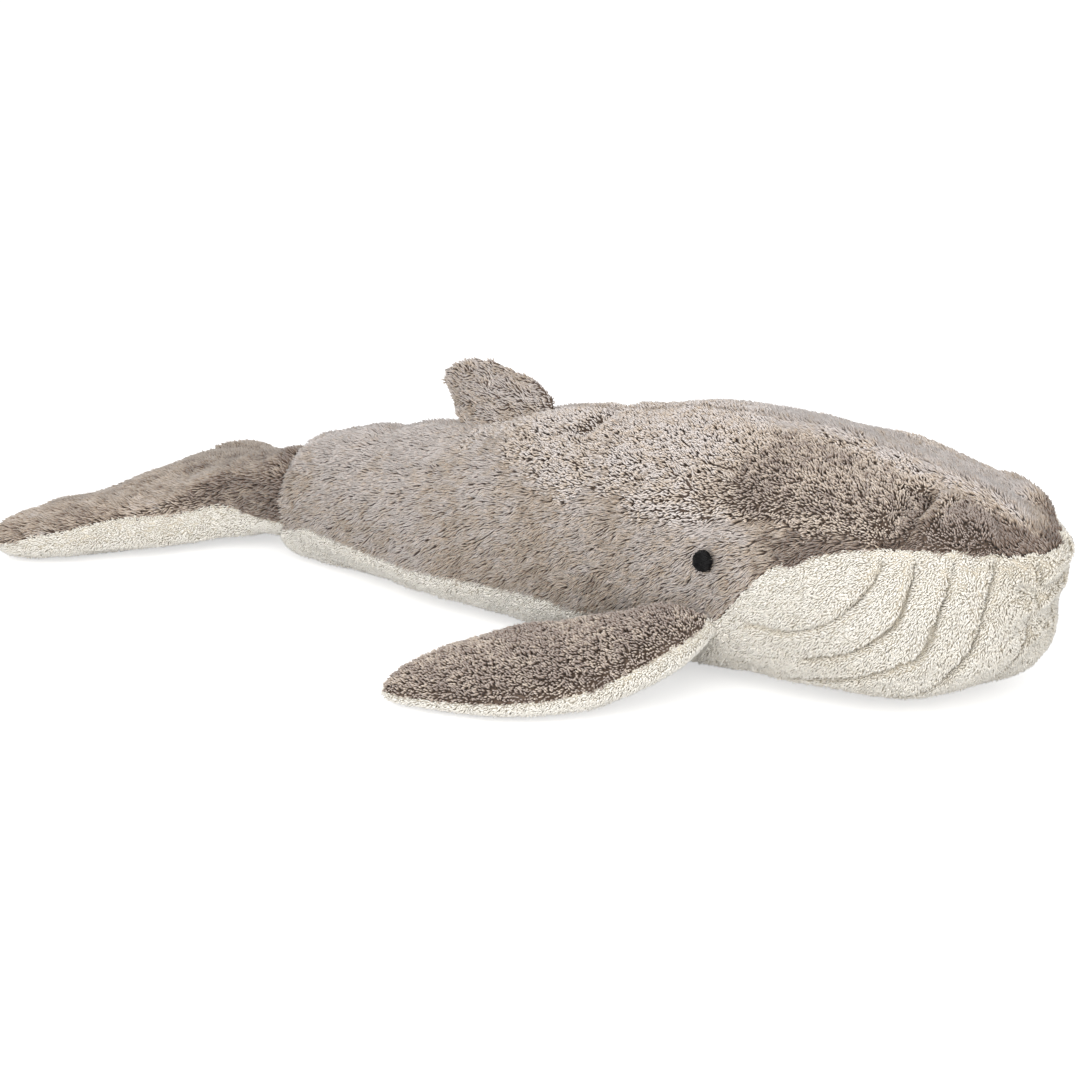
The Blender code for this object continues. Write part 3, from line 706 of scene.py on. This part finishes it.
def pile_finish(name, low, high, *tones):
    """Pile coloured by how pale its tuft is and how far up the tuft it is, which its map holds.
    Each tone darkens from tip to root, the dark roots being painted shade between the tufts.
    """
    finish = bpy.data.materials.new(name)
    finish.use_nodes = True
    nodes, links = finish.node_tree.nodes, finish.node_tree.links
    shader = nodes["Principled BSDF"]
    shader.inputs["Roughness"].default_value = 0.9
    shader.inputs["Sheen Weight"].default_value = 0.12
    shader.inputs["Specular IOR Level"].default_value = 0.2
    chart = nodes.new("ShaderNodeUVMap")
    chart.uv_map = "OFBake"
    split = nodes.new("ShaderNodeSeparateXYZ")
    links.new(chart.outputs[0], split.inputs[0])
    mixed = None
    for k, steps in enumerate(tones):
        ramp = nodes.new("ShaderNodeValToRGB")
        ramp.color_ramp.elements[0].position = low
        ramp.color_ramp.elements[0].color = colour(*steps[0])
        ramp.color_ramp.elements[1].position = 1.0
        ramp.color_ramp.elements[1].color = colour(*steps[2])
        middle = ramp.color_ramp.elements.new(high)
        middle.color = colour(*steps[1])
        links.new(split.outputs[1], ramp.inputs[0])
        if mixed is None:
            mixed = ramp.outputs[0]
            continue
        reach = nodes.new("ShaderNodeMapRange")
        reach.inputs["From Min"].default_value = (k - 1) / (len(tones) - 1)
        reach.inputs["From Max"].default_value = k / (len(tones) - 1)
        links.new(split.outputs[0], reach.inputs["Value"])
        blend = nodes.new("ShaderNodeMix")
        blend.data_type = "RGBA"
        links.new(reach.outputs[0], blend.inputs["Factor"])
        links.new(mixed, blend.inputs[6])
        links.new(ramp.outputs[0], blend.inputs[7])
        mixed = blend.outputs[2]
    links.new(mixed, shader.inputs["Base Color"])
    return finish


# The darkest of the three tones also carries painted shade in the brow crease, along the lip seam
# and at the flukes' root, and the palest, coolest one painted light on upward-facing pile.
taupe_pile = pile_finish(
    "taupe_pile", 0.15, 0.60,
    ((58, 44, 35), (120, 102, 90), (202, 190, 183)),
    ((104, 86, 70), (190, 173, 155), (238, 226, 214)),
    ((118, 105, 98), (202, 192, 186), (244, 239, 237)),
)
# The darker cream tone carries the painted shade low on the front, on the chin and in the throat
# grooves.
cream_pile = pile_finish(
    "cream_pile", 0.15, 0.60,
    ((190, 178, 156), (220, 212, 197), (236, 231, 221)),
    ((238, 232, 220), (243, 239, 231), (245, 242, 235)),
)
tufts = {
    "pile": spindle("lock", ((0.42, 0.5, 3),), tip_bend=0.55),
    "curls": spindle("knob", ((0.65, 0.5, 3),), tip_bend=0.32),
    "nap": spindle("nub", ((0.58, 0.5, 3),), tip_bend=0.25),
}
pile_tree = laid_pile_tree()
pile_marks = ("id", "shade", "patch", "side", "flow", "nap", "tone", "cover", "curl")


def run_tree(piece, tree, values):
    """Gives a piece what a tree of nodes makes with these values."""
    run = piece.modifiers.new(tree.name, "NODES")
    run.node_group = tree
    for item in tree.interface.items_tree:
        if item.in_out == "INPUT" and item.name in values:
            run[item.identifier] = values[item.name]
    mesh = applied(piece)
    mesh.materials.clear()
    mesh.materials.append(values["Finish"])
    mesh.polygons.foreach_set("material_index", np.zeros(len(mesh.polygons), np.int32))
    return mesh


def plant_pile(name, cloth, patch, kind, seed):
    """Plants one patch of a cloth with one kind of pile, as a plain mesh object."""
    planted = placed(name, cloth.data)
    finish = cream_pile if kind == "nap" else taupe_pile
    values = {
        "Tuft": tufts[kind], "Finish": finish, "Patch": patch, "Seed": seed,
        "Side": -1.0 if kind == "nap" else 1.0,
        "Curled": {"pile": -1.0, "curls": 1.0, "nap": 0.0}[kind],
    }
    values.update(zip(pile_values, pile_sizes[kind]))
    mesh = run_tree(planted, pile_tree, values)
    if not mesh.polygons:
        bpy.data.objects.remove(planted)
        return None
    for mark in pile_marks:
        if mark in mesh.attributes:
            mesh.attributes.remove(mesh.attributes[mark])
    return planted


# Each pair is where a look of the pile sets in and where it is full, along the body or up it.
flipper_from, flipper_to = (0.02, 0.06), (0.12, 0.145)
lip_from = (0.16, 0.20)
tail_from, tail_overlap = (0.125, 0.165), 0.007
eye_clear = (0.0045, 0.0110)
parting, parting_width, flank_fall = 0.6, 0.014, 0.9
head_from = (0.10, 0.16)
ridge_shift, ridge_half_width = 0.006, 0.019
curl_from, curl_height, curl_end = (0.12, 0.15), (0.062, 0.102), (-0.04, 0.05)
curl_lowered, lowered_height = 0.024, (0.080, 0.110)
lip_rise, lip_rise_from = 0.012, (0.215, 0.245)
dark_height = (0.086, 0.104)
cheek_from, cheek_top = (0.158, 0.182), (0.085, 0.100)
pale_place, pale_reach = 0.130, 0.030
rear_from, rear_to = (0.02, 0.09), (0.165, 0.178)
snout_from, chin_from = (0.232, 0.250), (0.262, 0.285)
shade_from, shade_height = (0.08, 0.14), (0.020, 0.070)
lip_shadow_from = (0.19, 0.22)
bare_pleat, bare_crease = 0.86, 0.55
under_facing, under_cover = -0.75, 0.3
patch_edges = (0.0, 0.12, 0.205)
points, normals = mesh_points(body_cloth.data), mesh_normals(body_cloth.data)
x, y, z = points.T
by_flipper = smooth_step(x, *flipper_from) * (1 - smooth_step(x, *flipper_to))
side -= cream_overlap * (1 - by_flipper) * (1 - 1.8 * smooth_step(x, *lip_from))
side += tail_overlap * smooth_step(-x, *tail_from)
is_cream = side < 0
at_seam = np.clip(1 - np.abs(side) / seam_reach, 0, 1)
flank = np.abs(normals[:, 1])
upward = np.clip(normals[:, 2], 0, 1)
eyes = [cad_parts[node].data for node in ("eye_right", "eye_left")]
eye_places = [mesh_points(eye).mean(axis=0) for eye in eyes]
eye_gap = np.min([np.linalg.norm(points - place, axis=1) for place in eye_places], axis=0)
by_eye = 1 - smooth_step(eye_gap, *eye_clear)
flow = np.zeros_like(points)
flow[:, 0] = -1
flow[:, 1] = parting * np.sign(y) * np.exp(-np.abs(y) / parting_width) * upward
flow[:, 2] = -flank_fall * flank
set_value(body_cloth.data, "flow", flow, "FLOAT_VECTOR")
set_value(body_cloth.data, "side", side)
short = (1 - 0.55 * pleated) * (1 - 0.85 * creased) * (1 - 0.65 * rolled)
short = short * (1 - 0.25 * at_seam) * (1 - 0.55 * by_eye)
set_value(body_cloth.data, "nap", short)
head = smooth_step(x, *head_from)
off_ridge = np.where(y > ridge_shift, 0.45, 1.0) * (y - ridge_shift) / ridge_half_width
combed = np.exp(-(off_ridge ** 4))
low_curl = curl_lowered * smooth_step(x, *curl_from)
curl = smooth_step(z - low_curl * (1 - smooth_step(z, *lowered_height)), *curl_height)
curl = curl * (0.75 + 0.25 * head) - 0.32 * smooth_step(-x, *curl_end)
curl *= (1 - rolled) * (1 - by_eye) * (1 - 0.8 * parted) * (1 - 0.9 * head * combed)
set_value(body_cloth.data, "curl", curl)
risen = lip_rise * smooth_step(x, *lip_rise_from)
dark = head * smooth_step(z + risen, *dark_height) * (1 - combed)
cheek = smooth_step(x, *cheek_from) * (1 - smooth_step(z, *cheek_top))
rear = smooth_step(-x, *rear_from) * (1 - smooth_step(-x, *rear_to))
snout = smooth_step(x, *snout_from) * dark
# Pile that faces upwards is made paler: painted light on the top.
tone = 0.08 + 0.26 * upward * (1 - dark) - 0.36 * dark - 0.66 * cheek - 0.08 * parted + 0.20 * rear
# A paler patch on the lower flank by the cheek: painted light where the flank faces sideways and
# down and gets little lamp light.
by_cheek = np.exp(-(((x - pale_place) / pale_reach) ** 2)) * (1 - smooth_step(z, *cheek_top))
tone += 0.12 * head * combed + 0.22 * by_cheek
# Darker pile along the front of the lip seam: painted shadow under the overhanging lip.
lip_shadow = 0.35 * at_seam * smooth_step(x, *lip_shadow_from)
# The pile in the brow crease is made much darker: painted shade in the crease.
tone -= 0.30 * snout - 0.40 * rolled + 1.10 * creased + lip_shadow
# The cream is made darker low down towards the front and on the chin's front: painted shade.
low = 0.26 * (1 - smooth_step(z, *shade_height)) * smooth_step(x, *shade_from)
low = np.maximum(low, 0.45 * smooth_step(x, *chin_from))
# The cream in the throat grooves is made much darker: painted shade in the grooves.
set_value(body_cloth.data, "tone", np.where(is_cream, 0.38 - low - 1.6 * pleated, tone))
cover = np.where(normals[:, 2] < under_facing, under_cover, 1.0)
cover = cover * (pleated < bare_pleat) * (creased < bare_crease)
set_value(body_cloth.data, "cover", cover)
patch = np.digitize(x, patch_edges) + np.where(y > 0, 10, 0)
set_value(body_cloth.data, "patch", face_values(body_cloth.data, patch), "INT", "FACE")
for number in sorted({int(n) for n in patch}):
    for kind, panel in (("pile", "back_pile"), ("curls", "back_curls"), ("nap", "belly_nap")):
        name = "{}_{}_{}".format(panel, "left" if number > 9 else "right", number % 10 + 1)
        pile = plant_pile(name, body_cloth, number, kind, number + 20 * len(kind))
        if pile:
            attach(pile, "body")


def backed(cloth):
    """Gives a cloth its two backings, and takes the marks for planting off it."""
    mesh = cloth.data
    side = np.empty(len(mesh.vertices))
    mesh.attributes["side"].data.foreach_get("value", side)
    for mark in pile_marks:
        if mark in mesh.attributes:
            mesh.attributes.remove(mesh.attributes[mark])
    mesh.materials.clear()
    mesh.materials.append(taupe_backing)
    mesh.materials.append(cream_backing)
    mesh.polygons.foreach_set("material_index", (face_values(mesh, side) < 0).astype(np.int32))


backed(body_cloth)
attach(body_cloth, "body")
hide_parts(*body_nodes)

# Flippers, flukes and fin
# Each is two pieces of plush sewn edge to edge, turned out and lightly filled, then set into the
# body at its root. The flippers and flukes are cream beneath, and the fin is grey on both sides.
body_skin = skin_tree(body_cloth.data)


def buried(skin, place):
    """Whether a place lies inside a closed skin, as most of four sight lines say."""
    ways = [Vector(w) for w in ((0, 0, 1), (-1, 0.3, 0.2), (0.2, 1, 0.3), (0.3, -1, 0.2))]
    hits = [(skin.ray_cast(place, way)[1], way) for way in ways]
    return sum(normal is not None and normal.dot(way) > 0 for normal, way in hits) > 2


def shaped_flukes(points, normals, near_root):
    """Raises the near tip, the middle and the root's top, and lets the lower edge stand out."""
    tip_swell, middle_lift, root_lift, edge_out = 0.0030, 0.0040, 0.0090, 0.0080
    tip_move = (-0.0026, -0.0030, 0.0036)
    at_tip = smooth_step(-points[:, 1:2], 0.045, 0.100)
    points += at_tip * (normals * (0, 0, tip_swell) + tip_move)
    middle = np.exp(-(((points[:, 1] + 0.066) / 0.022) ** 2)) * smooth_step(normals[:, 2], 0.0, 0.5)
    points[:, 2] += middle_lift * middle
    over_root = smooth_step(points[:, 0], -0.235, -0.200) * smooth_step(normals[:, 2], 0.0, 0.6)
    points[:, 2] += root_lift * over_root
    low_edge = (1 - smooth_step(points[:, 2:], 0.006, 0.036)) * (1 - near_root[:, None])
    points += edge_out * low_edge * normals * (1, 1, 0)


def shaped_fin(points, foot):
    """Leans the fin back, with a broad foot, a full front and a tip that trails."""
    height, base_forward, base_hold, front_swell = 0.030, 0.008, 0.005, 0.0020
    tip_back, top_lift, tip_lift = 0.0120, 0.0025, 0.0040
    lie = np.polyfit(points[:, 2], points[:, 0], 1)
    lead = smooth_step(points[:, 0] - np.polyval(lie, points[:, 2]), -0.012, 0.012)
    up = np.clip((points[:, 2] - foot) / height, 0, 1)
    forward = (1 - up) * (base_forward - base_hold * lead)
    points[:, 0] += forward + front_swell * lead * np.sin(math.pi * up)
    points[:, 0] -= tip_back * (1 - lead) * up
    points[:, 2] += (top_lift + tip_lift * (1 - lead)) * up


limb_grain = 0.0030
limb_swell = 0.0020
cloth_floor_gap = 0.0012
fluke_overlap, fluke_middle, fluke_outer = 0.0005, 0.0030, 0.0012
limb_curl = {"flukes": -0.2, "dorsal_fin": -0.2}
limb_tone = {"flukes": -0.14, "dorsal_fin": 0.26}
level_parts = ("_top_panel", "_under_panel", "_filling")
upright_parts = ("_panel_right", "_panel_left", "_filling")
limbs = (
    # body, parts, hinge, way out, shift at the root, the root's reach, the root's filling
    ("right_flipper", level_parts,
     (0.1135, -0.0819, 0.029), (-0.756, -0.655, 0.0), (0.010, 0.007, 0.011), 0.055, 0.0022),
    ("left_flipper", level_parts,
     (0.1135, 0.0819, 0.029), (-0.756, 0.655, 0.0), (0.010, -0.007, 0.011), 0.055, 0.0022),
    ("flukes", level_parts,
     (-0.1805, 0.0, 0.027), (-1.0, 0.0, 0.0), (0.007, 0.0, 0.0), 0.030, 0.0015),
    ("dorsal_fin", upright_parts,
     (-0.0314, 0.0, 0.1035), (0.0, 0.0, 1.0), (0.0, 0.0, -0.006), 0.018, 0.0010),
)
for k, (body, parts, hinge, out, shift, reach, filling) in enumerate(limbs):
    nodes = [body + part for part in parts]
    cloth = sewn_skin(body + "_cloth", nodes, limb_grain, rounds=3)
    top_tree, under_tree = tree_of(nodes[:1]), tree_of(nodes[1:2])
    coarse = mesh_points(cloth.data)
    gap = np.abs(past_seam(coarse, under_tree, top_tree))
    hinge, out, shift = np.array(hinge), np.array(out), np.array(shift)
    from_root = (coarse - hinge) @ out
    near_root = 1 - smooth_step(from_root, 0.0, reach)
    at_tip = smooth_step(np.abs(coarse[:, 1]), 0.070, 0.100) * (body == "flukes")
    draw_in(cloth.data, (pile_depth * 0.9) * (1 - near_root) * (1 - 0.7 * at_tip) + 0.0008, 0.36)
    stuffed(cloth, np.maximum(np.clip(1 - gap / 0.004, 0, 1), near_root > 0.85), limb_swell)
    made_finer(cloth)
    points, normals = mesh_points(cloth.data), mesh_normals(cloth.data)
    near_root = 1 - smooth_step((points - hinge) @ out, 0.0, reach)
    side = past_seam(points + normals * pile_depth * 0.9, under_tree, top_tree)
    points += near_root[:, None] * (shift + normals * filling)
    if body == "flukes":
        shaped_flukes(points, normals, near_root)
    elif body == "dorsal_fin":
        shaped_fin(points, hinge[2])
    place_points(cloth.data, points)
    handled(cloth.data, height=0.0010, size=0.030)
    points, normals = mesh_points(cloth.data), mesh_normals(cloth.data)
    points[:, 2] = np.maximum(points[:, 2], cloth_floor_gap)
    place_points(cloth.data, points)
    if body == "dorsal_fin":
        side[:] = 1
    elif body == "flukes":
        span = np.abs(points[:, 1])
        outer = fluke_outer * smooth_step(span, 0.070, 0.104)
        side += fluke_overlap + fluke_middle * smooth_step(span, 0.025, 0.055) + outer
        hidden = (normals[:, 2] > 0.35) & (points[:, 1] > 0.0) & (points[:, 0] > -0.235)
        side = np.where(hidden, np.maximum(side, 0.002), side)
    else:
        side -= cream_overlap * 0.8
    upward = np.clip(normals[:, 2], 0, 1)
    flow = np.tile(out + (0, 0, -0.3), (len(points), 1))
    if body == "flukes":
        flow[:, 1] = 0.6 * np.tanh(points[:, 1] / 0.03)
    elif body == "dorsal_fin":
        flow[:] = (-0.8, 0, 0.35)
    set_value(cloth.data, "flow", flow, "FLOAT_VECTOR")
    set_value(cloth.data, "side", side)
    nap = 1 - 0.25 * np.clip(1 - np.abs(side) / seam_reach, 0, 1)
    nap = nap * (0.68 if body == "dorsal_fin" else 1.0)
    edge = smooth_step(normals[:, 0], 0.15, 0.60) * (body == "dorsal_fin")
    set_value(cloth.data, "nap", nap * (1 - 0.35 * edge))
    set_value(cloth.data, "curl", np.full(len(points), limb_curl.get(body, 0.9)))
    # Pile that faces upwards is made paler: painted light on the top.
    tone = limb_tone.get(body, -0.44) + 0.08 * upward
    tone += 0.30 * edge
    if body == "flukes":
        # The flukes' pile darkens towards the root, where it goes into the body: painted shade in
        # the crease there.
        tone -= 0.35 * smooth_step(points[:, 0], -0.222, -0.196)
    set_value(cloth.data, "tone", np.where(side < 0, 0.36, tone))
    set_in = np.zeros(len(points), bool)
    for i in np.flatnonzero(near_root > 0):
        set_in[i] = buried(body_skin, Vector(points[i] - normals[i] * 0.001))
    cover = np.where(normals[:, 2] < -0.8, 0.35, 1.0) * np.where(set_in, 0.0, 1.0)
    set_value(cloth.data, "cover", cover)
    set_value(cloth.data, "patch", np.zeros(len(cloth.data.polygons), np.int32), "INT", "FACE")
    pieces = [cloth]
    for n, kind in enumerate(("pile", "curls", "nap")):
        pieces.append(plant_pile(body + "_" + kind, cloth, 0, kind, 300 + 10 * k + n))
    backed(cloth)
    for piece in filter(None, pieces):
        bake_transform(piece)
    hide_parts(*nodes)
for tuft in tufts.values():
    bpy.data.objects.remove(tuft)

# Eyes
# Each is embroidered through the plush in black thread: two layers of satin stitches laid side by
# side over a small round pad, the upper layer turned against the lower.
stitch_spacing = 0.00068
stitch_width = 0.00060
stitch_rise = 0.0026
stitch_turn = 0.9
eye_out = 0.0007
eye_radius = 0.0052


def laid_stitch(name):
    """One stitch, one long to each side and one high, as a round thread bent over the pad."""
    bm = bmesh.new()
    rows = []
    for u in np.linspace(-1, 1, 9):
        lift = math.sqrt(max(0.0, 1 - u * u)) - 0.35 * abs(u) ** 6
        rows.append([
            bm.verts.new((u, 0.5 * math.cos(a), lift + 0.3 * math.sin(a)))
            for a in (math.tau * k / 6 for k in range(6))
        ])
    for first, second in zip(rows, rows[1:]):
        for k in range(6):
            bm.faces.new((first[k], first[(k + 1) % 6], second[(k + 1) % 6], second[k]))
    bm.faces.new(rows[0][::-1])
    bm.faces.new(rows[-1])
    return built(name, bm)


def satin_tree():
    """Geometry Nodes: lays stitches side by side across a round, each as long as it is there."""
    bench = NodeBench(
        "satin stitches", Geometry=("Pad",), Object=("Stitch",), Material=("Finish",),
        Float=("Radius", "Spacing", "Width", "Rise", "Turn"), Int=("Seed",),
    )
    nodes, given = bench.tree.nodes, bench.given
    put, sum_of, chance, combined = bench.put, bench.sum_of, bench.chance, bench.combined

    row = nodes.new("GeometryNodeMeshLine")
    row.mode = "END_POINTS"
    row.count_mode = "RESOLUTION"
    for share, socket in ((-0.94, "Start Location"), (0.94, "Offset")):
        put(combined(0.0, sum_of("MULTIPLY", given["Radius"], share)), row.inputs[socket])
    put(given["Spacing"], row.inputs["Resolution"])
    place = bench.separated(nodes.new("GeometryNodeInputPosition").outputs[0])
    across = sum_of("DIVIDE", place[1], given["Radius"])
    reach = sum_of("SQRT", sum_of("SUBTRACT", 1.0, sum_of("MULTIPLY", across, across)))
    half = sum_of("MULTIPLY", sum_of("MULTIPLY", given["Radius"], reach), chance(0.92, 1.10, 1))
    rise = sum_of("MULTIPLY", sum_of("MULTIPLY", given["Rise"], reach), chance(0.9, 1.15, 2))
    size = combined(half, given["Width"], rise)
    aslant = combined(0.0, 0.0, chance(-0.06, 0.06, 3))
    stick = nodes.new("GeometryNodeInstanceOnPoints")
    pick = nodes.new("GeometryNodeObjectInfo")
    put(given["Stitch"], pick.inputs["Object"])
    put(row.outputs[0], stick.inputs["Points"])
    put(pick.outputs["Geometry"], stick.inputs["Instance"])
    put(aslant, stick.inputs["Rotation"])
    put(size, stick.inputs["Scale"])
    real = nodes.new("GeometryNodeRealizeInstances")
    put(stick.outputs[0], real.inputs[0])
    layers = nodes.new("GeometryNodeJoinGeometry")
    for share in (-0.5, 0.5):
        turned = nodes.new("GeometryNodeTransform")
        way = combined(0.0, 0.0, sum_of("MULTIPLY", given["Turn"], share))
        lift = combined(0.0, 0.0, sum_of("MULTIPLY", given["Width"], 0.45 * share))
        put(real.outputs[0], turned.inputs["Geometry"])
        put(way, turned.inputs["Rotation"])
        put(lift, turned.inputs["Translation"])
        put(turned.outputs[0], layers.inputs[0])
    return bench.finished(layers.outputs[0])


black_thread = bpy.data.materials.new("black_thread")
black_thread.use_nodes = True
thread_nodes, thread_links = black_thread.node_tree.nodes, black_thread.node_tree.links
thread_shader = thread_nodes["Principled BSDF"]
thread_shader.inputs["Roughness"].default_value = 0.30
thread_shader.inputs["Specular IOR Level"].default_value = 0.16
thread_where = thread_nodes.new("ShaderNodeTexCoord")
strands = thread_nodes.new("ShaderNodeTexNoise")
strands.inputs["Scale"].default_value = 2600
strands.inputs["Detail"].default_value = 2
thread_links.new(thread_where.outputs["Object"], strands.inputs["Vector"])
thread_tones = thread_nodes.new("ShaderNodeValToRGB")
thread_tones.color_ramp.elements[0].position = 0.35
thread_tones.color_ramp.elements[0].color = colour(3, 3, 3)
thread_tones.color_ramp.elements[1].position = 0.7
thread_tones.color_ramp.elements[1].color = colour(20, 19, 20)
thread_links.new(strands.outputs[0], thread_tones.inputs[0])
thread_links.new(thread_tones.outputs[0], thread_shader.inputs["Base Color"])
strand_bump = thread_nodes.new("ShaderNodeBump")
strand_bump.inputs["Strength"].default_value = 0.5
strand_bump.inputs["Distance"].default_value = 0.0001
thread_links.new(strands.outputs[0], strand_bump.inputs["Height"])
thread_links.new(strand_bump.outputs[0], thread_shader.inputs["Normal"])

stitch = laid_stitch("stitch")
satin = satin_tree()
for k, (node, place) in enumerate(zip(("eye_right", "eye_left"), eye_places)):
    foot, out = back_tree.find_nearest(Vector(place))[:2]
    if out.y * place[1] < 0:
        out = -out
    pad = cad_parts[node]
    pad.data.materials.clear()
    pad.data.materials.append(black_thread)
    seed_point = bpy.data.meshes.new(node + "_stitches")
    seed_point.from_pydata([(0, 0, 0)], [], [])
    sewn = placed(node + "_stitches", seed_point)
    mesh = run_tree(sewn, satin, {
        "Stitch": stitch, "Finish": black_thread, "Radius": eye_radius, "Spacing": stitch_spacing,
        "Width": stitch_width, "Rise": stitch_rise, "Turn": stitch_turn, "Seed": 7 + k,
    })
    way = out.to_track_quat("Z", "Y").to_matrix().to_4x4()
    mesh.transform(Matrix.Translation(foot + out * eye_out) @ way)
    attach(sewn, "body")
bpy.data.objects.remove(stitch)

# Studio
# A pale floor under soft lamps. The floor goes to white where the camera sees it lit, and keeps the
# whale's soft shadow.
turn, rise, reach = math.radians(33), math.radians(19), 1.5
floor_half = 4
target = Vector((-0.0065, 0, 0.034))
back = Vector((math.sin(turn) * math.cos(rise), -math.cos(turn) * math.cos(rise), math.sin(rise)))
lens = bpy.data.cameras.new("camera")
lens.sensor_width = 36
lens.lens = 93.45
camera = placed("camera", lens)
camera.location = target + back * reach
camera.rotation_euler = (-back).to_track_quat("-Z", "Y").to_euler()
bpy.context.scene.camera = camera


def seen_by_camera(nodes, links, strength):
    path = nodes.new("ShaderNodeLightPath")
    either = nodes.new("ShaderNodeMath")
    either.operation = "MAXIMUM"
    links.new(path.outputs["Is Camera Ray"], either.inputs[0])
    links.new(path.outputs["Is Glossy Ray"], either.inputs[1])
    both = nodes.new("ShaderNodeMath")
    both.operation = "MAXIMUM"
    links.new(either.outputs[0], both.inputs[0])
    links.new(path.outputs["Is Transmission Ray"], both.inputs[1])
    times = nodes.new("ShaderNodeMath")
    times.operation = "MULTIPLY"
    links.new(both.outputs[0], times.inputs[0])
    times.inputs[1].default_value = strength
    return times.outputs[0]


ground = bpy.data.meshes.new("floor")
corners = [(floor_half * a, floor_half * b, 0) for a, b in ((-1, -1), (1, -1), (1, 1), (-1, 1))]
ground.from_pydata(corners, [], [(0, 1, 2, 3)])
floor = placed("floor", ground)
paper = bpy.data.materials.new("paper")
paper.use_nodes = True
paper_shader = paper.node_tree.nodes["Principled BSDF"]
paper_shader.inputs["Base Color"].default_value = (0.8, 0.8, 0.8, 1)
paper_shader.inputs["Roughness"].default_value = 0.9
paper_shader.inputs["Specular IOR Level"].default_value = 0.1
paper_shader.inputs["Emission Color"].default_value = (1, 1, 1, 1)
paper.node_tree.links.new(
    seen_by_camera(paper.node_tree.nodes, paper.node_tree.links, 0.55),
    paper_shader.inputs["Emission Strength"],
)
ground.materials.append(paper)

world = bpy.data.worlds.new("world")
bpy.context.scene.world = world
world.use_nodes = True
sky = world.node_tree.nodes["Background"]
sky.inputs["Color"].default_value = (1, 1, 1, 1)
plain = world.node_tree.nodes.new("ShaderNodeMath")
plain.operation = "ADD"
plain.inputs[1].default_value = 0.55
world.node_tree.links.new(
    seen_by_camera(world.node_tree.nodes, world.node_tree.links, 0.45), plain.inputs[0]
)
world.node_tree.links.new(plain.outputs[0], sky.inputs["Strength"])

for name, place, size, power in (
    ("key", (0.45, -1.6, 0.90), 1.5, 29),
    ("fill", (1.5, -0.7, 0.5), 1.2, 9),
    ("top", (-0.2, 0.3, 2.1), 1.6, 8),
    ("back", (-1.3, 1.4, 0.9), 1.6, 9),
):
    lamp = bpy.data.lights.new(name, "AREA")
    lamp.size = size
    lamp.energy = power
    holder = placed(name, lamp)
    holder.location = place
    holder.rotation_euler = (-Vector(place)).to_track_quat("-Z", "Y").to_euler()
bpy.context.scene.view_settings.view_transform = "Standard"
